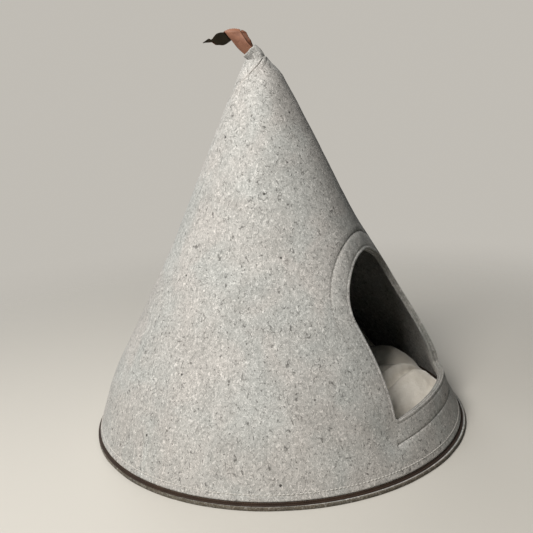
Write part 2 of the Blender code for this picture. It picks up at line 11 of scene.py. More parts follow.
import bmesh
import bpy
import numpy as np
from mathutils import Matrix, Vector, noise
from mathutils.geometry import delaunay_2d_cdt

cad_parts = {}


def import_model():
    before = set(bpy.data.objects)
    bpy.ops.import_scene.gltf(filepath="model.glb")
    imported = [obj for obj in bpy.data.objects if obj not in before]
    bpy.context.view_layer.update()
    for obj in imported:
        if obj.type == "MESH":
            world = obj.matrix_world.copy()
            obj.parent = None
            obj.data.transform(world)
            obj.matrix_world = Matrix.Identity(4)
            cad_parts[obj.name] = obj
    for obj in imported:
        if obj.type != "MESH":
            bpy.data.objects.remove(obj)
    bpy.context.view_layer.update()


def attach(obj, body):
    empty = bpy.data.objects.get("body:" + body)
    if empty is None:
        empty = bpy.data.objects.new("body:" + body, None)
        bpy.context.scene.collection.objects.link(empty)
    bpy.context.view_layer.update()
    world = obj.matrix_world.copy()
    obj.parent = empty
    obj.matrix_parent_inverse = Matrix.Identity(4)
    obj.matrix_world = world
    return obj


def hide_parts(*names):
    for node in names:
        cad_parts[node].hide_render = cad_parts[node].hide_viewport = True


MM = 0.001

# ---------------------------------------------------------------- sizes shared with the solids

BASE_RADIUS = 200.0
BASE_THICKNESS = 3.7
FELT = 3.1                  # thickness of the shell's and the facing's felt
GAP = 0.3                   # air left between two pieces that touch
LAP_GAP = 0.5               # air between the two layers of the shell's lap
LAP_WIDTH = 14.0
LAP_RAMP = 22.0             # stretch over which the inner layer dips under the outer one
LAP_TRIM = 3.5              # the inner layer is cut this much short at the hem, over the zip
FACING_WIDTH = 24.0
LEAN_AZIMUTH = math.radians(-153.0)     # the way in which the apex leans
SHELL_SECTIONS = [
    # height, radius, lean
    (6.8, 196.2, 1.3),
    (35.0, 185.4, 2.5),
    (70.0, 171.4, 2.6),
    (140.0, 132.8, 2.6),
    (210.0, 95.8, 2.4),
    (280.0, 62.9, 3.0),
    (340.0, 34.9, 4.4),
    (384.0, 13.7, 5.0),
]
TOP_DROP = 3.0              # how much lower the top edge is on the side that the cone leans to
TOP_DROP_LENGTH = 45.0
SHOULDER_LENGTH = 22.0
SEAM_OFFSET = 15.0          # distance of the panel's straight edge from the flat pattern's apex
SILL_HEIGHT = 55.5
ENTRANCE_HEIGHT = 155.6
SPRING_HEIGHT = 98.0        # where the arch starts
SPRING_HALF_WIDTH = 67.4
SILL_HALF_WIDTH = 79.5
SIDE_FLARE_POWER = 2.2
SILL_SAG = 3.5              # the sill's ends are this much above its middle in the flat panel
CORNER_RADIUS = 7.0
EDGE_FLARE = 2.6            # the cut sides spring outwards by this much
FLARE_AZIMUTHS = (0.20, 0.42, 0.55, 1.05)       # it starts, is full, starts to fade and ends
FLARE_RISES = (-0.15, 0.45, 0.75, 1.3)          # as shares of the entrance's height
CORNER_DENT = 2.2           # soft dents below the entrance's two lower corners
DENT_AZIMUTH = 0.50
DENT_RISE = -0.10
DENT_SPREAD = (0.13, 0.17)
DENT_FADE = (12.0, 32.0)    # slants over which it gets its full depth
SWELLS = [
    # height, waves round the cone, turn per mm up, start
    (0.7, 3.0, 0.011, 0.6),
    (0.5, 5.0, -0.023, 2.1),
]
SWELLS_AT_HEM = (20.0, 70.0)    # slants over which the swells grow
SWELLS_AT_TOP = 60.0            # and distance from the top over which they fade
ZIP_TAPE = 0.9              # thickness of the tapes
ZIP_TAPE_HEIGHT = 9.0
ZIP_TAPE_REACH = 10.0
ZIP_COIL_INSET = 2.3
ZIP_LIP = 2.4               # the lower tape shows this much outside the cone
ZIP_EASE = 16.0             # stretch over which the upper tape goes over to the lap's inner layer
COIL_CENTRE = (195.35, 5.25)    # radius and height
COIL_RADIUS = 1.05

# ---------------------------------------------------------------- the lap and the top, finer here

SHOULDER = 5.8              # how far the top is pressed in on the side away from the lean
SEAM_CURL = math.radians(68.0)      # how much further the lap's edge curls round the apex
SEAM_CURL_LENGTH = 60.0
SEAM_CURL_POWER = 1.3
SEAM_LIFT = 1.5             # how far its outer layer stands off there
SEAM_LIFT_WIDTH = 12.0
LAP_TAPER = 0.75            # share of the lap's width, and
LAP_PRESS = 0.35            # of its depth, that is lost up to the top edge
LAP_RAMP_MOST = 1.7         # the ramp's most, as a share of the cone's radius
LAP_RAMP_FULL = 0.88        # share of the ramp at which the inner layer is all the way in

# ---------------------------------------------------------------- camera and light

CAMERA_PLACE = (-0.7135, -0.3548, 0.3761)
CAMERA_HEADING = math.radians(63.0)     # from +Y towards +X
CAMERA_PITCH = math.radians(14.627)     # downwards
CAMERA_ROLL = math.radians(2.975)
CAMERA_LENS = 52.33
SENSOR_WIDTH = 36.0

# ---------------------------------------------------------------- helpers


def smoothstep(low, high, value):
    """0 below low, 1 above high, and an even S between them."""
    share = np.clip((value - low) / (high - low), 0.0, 1.0)
    return share * share * (3.0 - 2.0 * share)


def plateau(value, starts, full, fades, ends):
    """0 outside, 1 between full and fades."""
    return smoothstep(starts, full, value) * (1.0 - smoothstep(fades, ends, value))


def catmull_rom(before, start, end, after, share):
    """Smooth value between start and end, with its neighbours on both sides."""
    return 0.5 * (
        2.0 * start
        + (end - before) * share
        + (2.0 * before - 5.0 * start + 4.0 * end - after) * share ** 2
        + (3.0 * start - before - 3.0 * end + after) * share ** 3
    )


def refine_rows(rows, steps):
    """The rows of a table with steps smooth rows in place of each, as an array."""
    rows = [np.array(row, float) for row in rows]
    fine = []
    for index in range(len(rows) - 1):
        before = rows[max(index - 1, 0)]
        after = rows[min(index + 2, len(rows) - 1)]
        for step in range(steps):
            fine.append(catmull_rom(before, rows[index], rows[index + 1], after, step / steps))
    fine.append(rows[-1])
    return np.array(fine)


def noise_at(points, wavelength, seed=0.0):
    """Smooth noise of about -1 to 1 at each point, in millimetres."""
    shift = Vector((seed, 0.0, 0.0))
    return np.array([noise.noise(Vector(point) / wavelength + shift) for point in points])


def lumps_at(points, lumps):
    """Height of a surface's lumps at each point, from rows of height, wavelength and seed."""
    return sum(height * noise_at(points, wavelength, seed) for height, wavelength, seed in lumps)


def circle(count):
    """Azimuths of count points round a full turn."""
    return 2.0 * math.pi * np.arange(count) / count


def around(azimuth, radius, height):
    """Points at a radius and height round the vertical axis."""
    x = radius * np.sin(azimuth)
    y = -radius * np.cos(azimuth)
    return np.stack(np.broadcast_arrays(x, y, height), axis=-1)


def polar(points):
    """Azimuth and radius of points."""
    return np.arctan2(points[:, 0], -points[:, 1]), np.hypot(points[:, 0], points[:, 1])


def mesh_object(name, points, faces, materials, face_materials=None):
    """A smooth-shaded mesh object, from points in millimetres."""
    mesh = bpy.data.meshes.new(name)
    mesh.from_pydata((np.asarray(points, float) * MM).tolist(), [], faces)
    for entry in materials:
        mesh.materials.append(entry)
    if face_materials is not None:
        mesh.polygons.foreach_set("material_index", np.asarray(face_materials, np.int32))
    mesh.shade_smooth()
    made = bpy.data.objects.new(name, mesh)
    bpy.context.scene.collection.objects.link(made)
    return made


def ring_faces(rings, count, closed_rings=False, flipped=False):
    """Quads of a grid of rings, each with count points round it."""
    faces = []
    for ring in range(rings if closed_rings else rings - 1):
        low, high = ring * count, (ring + 1) % rings * count
        for step in range(count):
            after = (step + 1) % count
            faces.append((low + step, low + after, high + after, high + step))
    return [face[::-1] for face in faces] if flipped else faces


# ---------------------------------------------------------------- cone surface

LEAN_SIDE = np.array([math.sin(LEAN_AZIMUTH), -math.cos(LEAN_AZIMUTH), 0.0])
LEAN_FRONT = np.array([-LEAN_SIDE[1], LEAN_SIDE[0], 0.0])
PROFILE = refine_rows(SHELL_SECTIONS, 24)
PROFILE_STEPS = np.diff(PROFILE, axis=0)
SLANTS = np.concatenate([[0.0], np.cumsum(np.hypot(PROFILE_STEPS[:, 0], PROFILE_STEPS[:, 1]))])
SLANT_LENGTH = SLANTS[-1]
PATTERN_TURN = (PROFILE[0, 1] - PROFILE[-1, 1]) / SLANT_LENGTH
PATTERN_RADIUS = PROFILE[0, 1] / PATTERN_TURN
SLOPE = np.gradient(PROFILE, SLANTS, axis=0)


def section_at(slant):
    """Height, radius, lean, and the profile's direction as outward and upward shares."""
    height, radius, lean = (np.interp(slant, SLANTS, PROFILE[:, column]) for column in range(3))
    upward, outward = (np.interp(slant, SLANTS, SLOPE[:, column]) for column in range(2))
    length = np.hypot(outward, upward)
    return height, radius, lean, outward / length, upward / length


SILL_SLANT = float(np.interp(SILL_HEIGHT, PROFILE[:, 0], SLANTS))


def near_apex(slant):
    """0 on the cone, growing to 1 at its top edge."""
    return np.clip(1.0 - (SLANT_LENGTH - slant) / SEAM_CURL_LENGTH, 0.0, 1.0)


def seam_azimuth(slant):
    """Azimuth of the outer layer's edge: at the back, curling round near the apex."""
    curl = SEAM_CURL * near_apex(slant) ** SEAM_CURL_POWER
    return -math.pi + np.arcsin(SEAM_OFFSET / (PATTERN_RADIUS - slant)) / PATTERN_TURN + curl


def inner_edge_azimuth(slant):
    """Azimuth of the inner layer's edge, past the seam by the lap."""
    lap = LAP_WIDTH * (1.0 - LAP_TAPER * near_apex(slant))
    return seam_azimuth(slant) + 2.0 * math.pi + lap / section_at(slant)[1]


def lap_depth(azimuth, slant):
    """How far the panel lies below the outer face: the inner layer, less the lifted edge."""
    radius = section_at(slant)[1]
    from_edge = (azimuth - seam_azimuth(slant)) * radius
    past_seam = from_edge - 2.0 * math.pi * radius
    ramp = np.minimum(LAP_RAMP, LAP_RAMP_MOST * radius)
    apex = near_apex(slant)
    under = smoothstep(0.0, 1.0, (past_seam + ramp) / (LAP_RAMP_FULL * ramp))
    lifted = SEAM_LIFT * apex * (1.0 - smoothstep(0.0, SEAM_LIFT_WIDTH, from_edge))
    return (FELT + LAP_GAP) * (1.0 - LAP_PRESS * apex) * under - lifted


def unevenness(azimuth, slant):
    """Outward swell of the soft felt, from the wrapping and from the cut entrance."""
    swells = 0.0
    for size, count, turn, start in SWELLS:
        swells = swells + size * np.sin(count * azimuth + turn * slant + start)
    swells *= smoothstep(*SWELLS_AT_HEM, slant)
    swells *= smoothstep(0.0, SWELLS_AT_TOP, SLANT_LENGTH - slant)
    side = np.minimum(np.abs(azimuth), math.pi)
    up = (slant - SILL_SLANT) / ENTRANCE_HEIGHT
    flare = EDGE_FLARE * plateau(side, *FLARE_AZIMUTHS) * plateau(up, *FLARE_RISES)
    across, along = (side - DENT_AZIMUTH) / DENT_SPREAD[0], (up - DENT_RISE) / DENT_SPREAD[1]
    dent = CORNER_DENT * smoothstep(*DENT_FADE, slant) * np.exp(-across ** 2 - along ** 2)
    return swells + flare - dent


def surface(azimuth, slant, depth):
    """Points at a depth below the cone's outer face."""
    height, radius, lean, outward, upward = section_at(slant)
    depth = depth - unevenness(azimuth, slant)
    from_top = SLANT_LENGTH - slant
    towards = 0.5 * (1.0 + np.cos(azimuth - LEAN_AZIMUTH))
    drop = TOP_DROP * towards * (1.0 - smoothstep(0.0, TOP_DROP_LENGTH, from_top))
    press = SHOULDER * (1.0 - towards) ** 3 * (1.0 - smoothstep(0.0, SHOULDER_LENGTH, from_top))
    points = around(azimuth, radius - depth * upward - press, height + depth * outward - drop)
    return points + LEAN_SIDE * np.asarray(lean)[..., None]


def to_flat(azimuth, slant):
    """Place of a surface point in the flat panel."""
    return around(azimuth * PATTERN_TURN, PATTERN_RADIUS - slant, 0.0)[..., :2]


def from_flat(points):
    """Azimuth and slant of places in the flat panel."""
    turn, reach = polar(points)
    slant = PATTERN_RADIUS - reach
    past_back = turn < seam_azimuth(slant) * PATTERN_TURN - 1e-5
    return (turn + 2.0 * math.pi * past_back) / PATTERN_TURN, slant


# ---------------------------------------------------------------- entrance and stitch lines

STITCH_PITCH = 4.0
STITCH_LENGTH = 3.5
THREAD_RADIUS = 0.3
HEM_THREAD_RADIUS = 0.55
EDGE_STITCH = 3.4           # distance of the first stitch line from the entrance's edge
FACING_STITCH = 20.0        # and of the second one
HEM_STITCH = 6.2
SEAM_STITCHES = (4.0, 10.0)
SILL_STITCH_AZIMUTH = math.radians(27.4)    # where the sill's second line ends in a back-tack
ARCH_LINE_FOOT = 12.0       # the arch's line ends this much above the sill
ARCH_LINE_FADE = (95.0, 165.0)  # rise above the sill over which it gets its full depth
ARCH_LINE_LEAST = 0.08      # and the share of the depth that it has below that
GROOVE_WIDTH = 0.85
GROOVE_BEADS = 0.08         # share of a groove's depth that comes and goes with the stitches
EDGE_GROOVE = 0.55          # depths that the lines press into the felt
FACING_GROOVE = 1.1
HEM_GROOVE = 0.2
SEAM_GROOVE = 0.6
TACK_GROOVE = 1.1           # a back-tack's dimple
TACK_RADIUS = 1.2
FLAP_LINE = 1.6             # near the apex the lap is sewn down this close to its edge
FLAP_GROOVE = 2.7
FLAP_GROOVE_WIDTH = 0.5
FLAP_FADE = (0.30, 0.75)    # from 0 on the cone to 1 at its top edge
ENTRANCE_REACH = 1.3        # azimuth that all of the entrance's lines stay within


def entrance_half_width(rise):
    """Half the entrance's width at a rise above its sill."""
    if rise > SPRING_HEIGHT:
        share = (rise - SPRING_HEIGHT) / (ENTRANCE_HEIGHT - SPRING_HEIGHT)
        return SPRING_HALF_WIDTH * math.sqrt(max(1.0 - share * share, 0.0))
    below = (SPRING_HEIGHT - rise) / SPRING_HEIGHT
    return SPRING_HALF_WIDTH + (SILL_HALF_WIDTH - SPRING_HALF_WIDTH) * below ** SIDE_FLARE_POWER


def resample(line, step, closed=False):
    """The same line with points about a step apart."""
    line = np.vstack([line, line[:1]]) if closed else np.asarray(line, float)
    along = np.concatenate([[0.0], np.cumsum(np.linalg.norm(np.diff(line, axis=0), axis=1))])
    count = max(round(along[-1] / step), 2)
    at = np.linspace(0.0, along[-1], count + 1)[:count if closed else None]
    return np.stack([np.interp(at, along, line[:, axis]) for axis in range(2)], axis=1)


def entrance_outline():
    """The entrance's closed outline in the flat panel, counter-clockwise from the sill's middle."""
    run = SILL_HALF_WIDTH - CORNER_RADIUS
    half = [(x, SILL_SAG * (x / SILL_HALF_WIDTH) ** 2) for x in np.linspace(0.0, run, 24)]
    sill_end = half[-1][1]
    for turn in np.linspace(0.1, 0.5 * math.pi, 8):
        rise = sill_end + CORNER_RADIUS * (1.0 - math.cos(turn))
        corner = run + CORNER_RADIUS * math.sin(turn)
        half.append((min(corner, entrance_half_width(rise)), rise))
    rises = np.linspace(sill_end + CORNER_RADIUS, SPRING_HEIGHT, 40)[1:-1]
    half.extend((entrance_half_width(rise), rise) for rise in rises)
    for turn in np.linspace(0.0, 0.5 * math.pi, 48)[:-1]:
        rise = SPRING_HEIGHT + (ENTRANCE_HEIGHT - SPRING_HEIGHT) * math.sin(turn)
        half.append((SPRING_HALF_WIDTH * math.cos(turn), rise))
    whole = half + [(0.0, ENTRANCE_HEIGHT)] + [(-x, y) for x, y in reversed(half[1:])]
    return np.array(whole) + to_flat(0.0, SILL_SLANT)


def moved_aside(line, distance, closed=True):
    """A line moved to its right, which is outwards for a counter-clockwise loop."""
    if closed:
        along = np.roll(line, -1, axis=0) - np.roll(line, 1, axis=0)
    else:
        along = np.gradient(line, axis=0)
    along /= np.linalg.norm(along, axis=1)[:, None]
    return line + np.stack([along[:, 1], -along[:, 0]], axis=1) * distance


def loop_row(loop, distance, step):
    """A row of points a distance outside a closed loop, about a step apart."""
    return resample(moved_aside(loop, distance), step, closed=True)


def inside(loop, points):
    """Which points are inside a closed loop."""
    odd = np.zeros(len(points), bool)
    for start, end in zip(loop, np.roll(loop, -1, axis=0)):
        crosses = (start[1] > points[:, 1]) != (end[1] > points[:, 1])
        if start[1] != end[1]:
            at = start[0] + (end[0] - start[0]) * (points[:, 1] - start[1]) / (end[1] - start[1])
            odd ^= crosses & (points[:, 0] < at)
    return odd


def distance_along(line, points, closed=False):
    """Each point's distance from a line, and how far along the line it is."""
    best = np.full(len(points), 1e9)
    best_along = np.zeros(len(points))
    ends = np.roll(line, -1, axis=0) if closed else line[1:]
    along = 0.0
    for start, end in zip(line, ends):
        step = end - start
        length = np.linalg.norm(step)
        share = np.clip((points - start) @ step / length ** 2, 0.0, 1.0)
        distance = np.linalg.norm(start + share[:, None] * step - points, axis=1)
        nearer = distance < best
        best[nearer] = distance[nearer]
        best_along[nearer] = along + share[nearer] * length
        along += length
    return best, best_along


ENTRANCE = entrance_outline()
SILL = ENTRANCE[:, 1].min()
EDGE_LINE = loop_row(ENTRANCE, EDGE_STITCH, STITCH_PITCH)


def arch_line():
    """The facing's second stitch line round the arch, from low on one side to low on the other."""
    loop = moved_aside(resample(ENTRANCE, 2.0, closed=True), FACING_STITCH)
    above = loop[:, 1] > SILL + ARCH_LINE_FOOT
    first = int(np.argmax(above))
    kept = np.roll(loop, -first, axis=0)[:int(above.sum())]
    return resample(kept, STITCH_PITCH)


def sill_line():
    """The facing's second stitch line under the sill, back-tacked at both ends."""
    azimuths = np.linspace(-SILL_STITCH_AZIMUTH, SILL_STITCH_AZIMUTH, 60)
    flat_x = to_flat(azimuths, SILL_SLANT - FACING_STITCH)[:, 0]
    level = to_flat(0.0, SILL_SLANT)[1] - FACING_STITCH
    points = np.stack([flat_x, level + SILL_SAG * (flat_x / SILL_HALF_WIDTH) ** 2], axis=1)
    return resample(points, STITCH_PITCH)


ARCH_LINE = arch_line()
SILL_LINE = sill_line()


def arch_depth(points):
    """Depth of the arch's stitch line at flat points: fainter lower down."""
    low = smoothstep(*ARCH_LINE_FADE, points[:, 1] - SILL)
    return FACING_GROOVE * (ARCH_LINE_LEAST + (1.0 - ARCH_LINE_LEAST) * low)


def groove(distance, along, depth):
    """Depth of a pressed stitch line: deeper where the thread dives in."""
    beads = 1.0 - GROOVE_BEADS + GROOVE_BEADS * np.cos(2.0 * math.pi * along / STITCH_PITCH)
    return depth * beads * np.exp(-(distance / GROOVE_WIDTH) ** 2)


def stitch_grooves(flat, azimuth, slant):
    """How far all stitch lines press the felt in."""
    total = np.zeros(len(flat))
    near = np.abs(azimuth) < ENTRANCE_REACH
    points = flat[near]
    pressed = groove(*distance_along(EDGE_LINE, points, closed=True), EDGE_GROOVE)
    pressed += groove(*distance_along(ARCH_LINE, points), arch_depth(points))
    pressed += groove(*distance_along(SILL_LINE, points), FACING_GROOVE)
    for end in (SILL_LINE[0], SILL_LINE[-1]):
        away = np.linalg.norm(points - end, axis=1)
        pressed += TACK_GROOVE * np.exp(-(away / TACK_RADIUS) ** 2)
    total[near] = pressed
    radius = section_at(slant)[1]
    total += groove(np.abs(slant - HEM_STITCH), azimuth * radius, HEM_GROOVE)
    past_seam = (azimuth - seam_azimuth(slant)) * radius
    for offset in SEAM_STITCHES:
        total += groove(np.abs(past_seam - offset), slant, SEAM_GROOVE)
    flap = np.exp(-((past_seam - FLAP_LINE) / FLAP_GROOVE_WIDTH) ** 2)
    return total + FLAP_GROOVE * smoothstep(*FLAP_FADE, near_apex(slant)) * flap


# ---------------------------------------------------------------- felt sheets

CELL = 5.0                  # distance of points where nothing needs them closer
CELL_LEAST = 1.2            # in the narrow top they are closer, down to this distance
CELL_PER_RADIUS = 0.16      # and this share of the cone's radius
CELL_REACH = 0.52           # share of CELL that has to be free round a point
ROW_REACH = 0.22            # the same for a point of a row, in millimetres
EDGE_ROUND = 0.5            # the felt's cut edges are softened by this radius
EDGE_ROWS = (0.35, 0.9, 1.7)    # rows of points at these distances from a cut edge,
GROOVE_ROWS = (-1.7, -0.9, -0.4, 0.0, 0.4, 0.9, 1.7)    # from a stitch line
FLAP_ROWS = (0.7, 1.05, 1.35, 1.6, 1.85, 2.15, 2.5)     # and from the lap's edge
FACING_ROWS = (4.5, 8.0, 12.0, 16.0, 20.0, 22.8)
EDGE_CLEARANCE = 0.2        # no other point is nearer to the panel's edge
TRIM_FADE = 30.0            # slant over which the inner layer's trim stops counting
PANEL_STEP = 2.4            # distances of points along the panel's edge,
TOP_STEP = 2.0
FLAP_STEP = 1.2
HEM_STEP = 1.9
LOOP_STEP = 2.2             # the entrance's edge,
GROOVE_STEP = 1.6           # its stitch lines
FACING_STEP = 4.0           # and the facing's outer rows
SHELL_LUMPS = [
    # height, wavelength, seed
    (0.30, 21.0, 0.0),
    (0.13, 6.5, 40.0),
]
FACING_LUMPS = [(0.25, 14.0, 80.0)]
SHELL_LUMPS_FADE = 8.0      # the lumps fade this near to a cut edge
FACING_LUMPS_FADE = 6.0


def arc_row(slant, step, trim=0.0):
    """Points round the panel at a slant length. The inner layer's stretch is trimmed."""
    start, end = float(seam_azimuth(slant)), float(inner_edge_azimuth(slant))
    count = max(int((end - start) * section_at(slant)[1] / step), 12)
    azimuths = np.linspace(start, end, count + 1)
    trimmed = trim * lap_depth(azimuths, slant) / (FELT + LAP_GAP)
    return to_flat(azimuths, slant + trimmed)


def side_row(offset, step, inner):
    """Points up the panel's straight edge, an offset inside it."""
    slants = np.linspace(0.0, SLANT_LENGTH, int(SLANT_LENGTH / step) + 1)
    radius = section_at(slants)[1]
    if inner:
        return to_flat(inner_edge_azimuth(slants) - offset / radius, slants)
    return to_flat(seam_azimuth(slants) + offset / radius, slants)


def panel_outline():
    """The flat panel's closed edge, counter-clockwise."""
    bottom = arc_row(0.0, PANEL_STEP, LAP_TRIM)[:-1]
    count = int(SLANT_LENGTH / PANEL_STEP) + 1
    slants = np.linspace(LAP_TRIM, SLANT_LENGTH, count)[:-1]
    right = to_flat(inner_edge_azimuth(slants), slants)
    top = arc_row(SLANT_LENGTH, PANEL_STEP)[::-1][:-1]
    slants = np.linspace(SLANT_LENGTH, 0.0, count)[:-1]
    left = to_flat(seam_azimuth(slants), slants)
    return np.vstack([bottom, right, top, left])


def panel_margin(azimuth, slant):
    """Distance from the panel's edge, positive inside it."""
    radius = section_at(slant)[1]
    trim = LAP_TRIM * lap_depth(azimuth, slant) / (FELT + LAP_GAP)
    margins = [
        slant - trim * (1.0 - smoothstep(0.0, TRIM_FADE, slant)),
        SLANT_LENGTH - slant,
        (azimuth - seam_azimuth(slant)) * radius,
        (inner_edge_azimuth(slant) - azimuth) * radius,
    ]
    return np.minimum.reduce(margins)


def spread(groups, taken):
    """Points of the groups in turn, each kept only if no taken or earlier point is too near."""
    cell = 1.0
    grid = {}
    kept = []

    def near(point, reach):
        column, row = int(point[0] // cell), int(point[1] // cell)
        span = int(reach // cell) + 1
        for i in range(column - span, column + span + 1):
            for j in range(row - span, row + span + 1):
                for other in grid.get((i, j), ()):
                    if (other[0] - point[0]) ** 2 + (other[1] - point[1]) ** 2 < reach * reach:
                        return True
        return False

    def keep(point):
        grid.setdefault((int(point[0] // cell), int(point[1] // cell)), []).append(point)

    for point in taken:
        keep(tuple(point))
    for points, reach in groups:
        for point in map(tuple, points.tolist()):
            if not near(point, reach):
                keep(point)
                kept.append(point)
    return kept


def triangulate(points, loops):
    """Flat points and triangles, with the loops kept as edges."""
    points = [Vector(point) for point in points]
    edges = []
    for loop in loops:
        first, count = len(points), len(loop)
        points.extend(Vector(point) for point in loop)
        edges.extend((first + index, first + (index + 1) % count) for index in range(count))
    flat, _, triangles, *_ = delaunay_2d_cdt(points, edges, [], 0, 1e-5)
    return np.array([tuple(point) for point in flat]), np.array(triangles)


def edge_rounding(margin):
    """How far a softened cut edge falls back from the face at a distance from the edge."""
    short = np.clip(EDGE_ROUND - margin, 0.0, EDGE_ROUND)
    return EDGE_ROUND - np.sqrt(EDGE_ROUND ** 2 - short ** 2)


def felt_sheet(name, flat, triangles, outer_depth, inner_depth, entries):
    """A thick sheet over the triangles, between two depths below the cone's outer face.

    The entries are the materials of its faces and of its cut edges.
    """
    used, triangles = np.unique(triangles, return_inverse=True)
    triangles = triangles.reshape(-1, 3)
    count = len(used)
    azimuth, slant = from_flat(flat[used])
    outer = surface(azimuth, slant, outer_depth[used])
    inner = surface(azimuth, slant, inner_depth[used])
    faces = [tuple(triangle) for triangle in triangles.tolist()]
    faces += [(c + count, b + count, a + count) for a, b, c in triangles.tolist()]
    directed = {(a, b) for tri in triangles.tolist() for a, b in zip(tri, tri[1:] + tri[:1])}
    kinds = [0] * len(faces)
    faces += [(b, a, a + count, b + count) for a, b in sorted(directed) if (b, a) not in directed]
    kinds += [1] * (len(faces) - len(kinds))
    return mesh_object(name, np.vstack([outer, inner]), faces, entries, kinds)


def background_points():
    """Staggered points all over the panel, a cell apart, and closer near its narrow top."""
    rows = []
    count = round(SLANT_LENGTH / (CELL * math.sqrt(0.75)))
    for row in range(1, count):
        slant = SLANT_LENGTH * row / count
        radius = float(section_at(slant)[1])
        start, end = float(seam_azimuth(slant)), float(inner_edge_azimuth(slant))
        apart = min(CELL, CELL_PER_RADIUS * radius + CELL_LEAST)
        columns = max(round((end - start) * radius / apart), 8)
        azimuths = start + (end - start) * (np.arange(columns) + 0.5 * (row % 2)) / columns
        rows.append(to_flat(azimuths, slant))
    return np.vstack(rows)


def keep_inside(points, entrance):
    """The points that are well inside the panel and outside the entrance."""
    azimuth, slant = from_flat(points)
    kept = points[panel_margin(azimuth, slant) > EDGE_CLEARANCE]
    return kept[~inside(entrance, kept)]


def shell_rows(entrance):
    """Rows of points along the panel's edges and stitch lines."""
    rows = [arc_row(row, PANEL_STEP, LAP_TRIM) for row in EDGE_ROWS]
    rows += [arc_row(SLANT_LENGTH - row, TOP_STEP) for row in EDGE_ROWS]
    rows += [side_row(row, FLAP_STEP, False) for row in FLAP_ROWS]
    rows += [side_row(row, PANEL_STEP, inner) for row in EDGE_ROWS for inner in (False, True)]
    rows += [loop_row(entrance, row, LOOP_STEP) for row in EDGE_ROWS]
    for row in GROOVE_ROWS:
        rows.append(loop_row(EDGE_LINE, row, GROOVE_STEP))
        for line in (ARCH_LINE, SILL_LINE):
            rows.append(resample(moved_aside(line, row, closed=False), GROOVE_STEP))
        rows.append(arc_row(HEM_STITCH + row, HEM_STEP))
        rows += [side_row(offset + row, PANEL_STEP, False) for offset in SEAM_STITCHES]
    return rows


def make_shell(entries):
    """The cone's panel with its grooves, soft edges and small lumps."""
    outline = panel_outline()
    entrance = resample(ENTRANCE, LOOP_STEP, closed=True)
    groups = [(points, ROW_REACH) for points in shell_rows(entrance)]
    groups.append((background_points(), CELL_REACH * CELL))
    groups = [(keep_inside(points, entrance), reach) for points, reach in groups]
    points = spread(groups, np.vstack([outline, entrance]))
    flat, triangles = triangulate(points, [outline, entrance])
    middle = flat[triangles].mean(axis=1)
    wanted = (panel_margin(*from_flat(middle)) > 0.0) & ~inside(entrance, middle)
    azimuth, slant = from_flat(flat)
    from_entrance = distance_along(entrance, flat, closed=True)[0]
    margin = np.minimum(panel_margin(azimuth, slant), from_entrance)
    rounding = edge_rounding(np.maximum(margin, 0.0))
    lap = lap_depth(azimuth, slant)
    lumps = lumps_at(surface(azimuth, slant, lap), SHELL_LUMPS)
    lumps *= smoothstep(0.0, SHELL_LUMPS_FADE, margin)
    outer = lap + rounding + stitch_grooves(flat, azimuth, slant) - lumps
    inner = lap + FELT - rounding
    return felt_sheet("felt_shell", flat, triangles[wanted], outer, inner, entries)


def make_facing(entries):
    """The ring of felt behind the entrance."""
    entrance = resample(ENTRANCE, LOOP_STEP, closed=True)
    outer_edge = loop_row(ENTRANCE, FACING_WIDTH, FACING_STEP)
    groups = [(loop_row(entrance, row, LOOP_STEP), 0.3) for row in EDGE_ROWS]
    groups += [(loop_row(entrance, row, FACING_STEP), 2.0) for row in FACING_ROWS]
    points = spread(groups, np.vstack([entrance, outer_edge]))
    flat, triangles = triangulate(points, [entrance, outer_edge])
    middle = flat[triangles].mean(axis=1)
    wanted = inside(outer_edge, middle) & ~inside(entrance, middle)
    azimuth, slant = from_flat(flat)
    margins = [distance_along(loop, flat, closed=True)[0] for loop in (entrance, outer_edge)]
    rounding = edge_rounding(np.minimum(*margins))
    smooth = surface(azimuth, slant, np.full(len(flat), FELT))
    lumps = lumps_at(smooth, FACING_LUMPS) * smoothstep(0.0, FACING_LUMPS_FADE, margins[1])
    outer = FELT + GAP + rounding
    inner = 2.0 * FELT + GAP - rounding + lumps
    return felt_sheet("felt_facing", flat, triangles[wanted], outer, inner, entries)


# ---------------------------------------------------------------- base and zip

RING_STEPS = 288
BASE_RIM = [
    # inset, height; the heights from the top count down from it
    (0.9, 0.0),
    (0.3, 0.25),
    (0.0, 0.9),
    (0.0, BASE_THICKNESS - 1.0),
    (0.3, BASE_THICKNESS - 0.35),
    (1.0, BASE_THICKNESS),
]
BASE_WAVES = [
    # height, waves round the base, start
    (0.25, 7.0, 0.4),
    (0.15, 19.0, 0.0),
]
BASE_TOP_RADII = (BASE_RADIUS - 8.0, 150.0, 100.0, 50.0, 0.0)
ZIP_LAP_CLEARANCE = 0.2
ZIP_LAP_PAST = 2.0          # the upper tape stays in this far past the lap
ZIP_TEETH = 600
TOOTH_SHAPE = (0.72, 1.0, 1.0, 0.82)
COIL_SIDES = 8


def turned(name, profile, entries, lean=0.0, inset=0.0, moved=slice(None), kinds=None):
    """A ring or disc from a closed profile of (radius, height), counter-clockwise.

    The moved profile points are inset by a distance at each azimuth. kinds gives which of the
    entries each face between a profile point and the next one has.
    """
    radii, heights = np.array(profile).T
    radii = np.tile(radii, (RING_STEPS, 1))
    radii[:, moved] -= np.reshape(inset, (-1, 1))
    points = around(circle(RING_STEPS)[:, None], radii, heights) + LEAN_SIDE * lean
    faces = ring_faces(RING_STEPS, len(profile), closed_rings=True, flipped=True)
    return mesh_object(name, points.reshape(-1, 3), faces, entries, kinds and kinds * RING_STEPS)


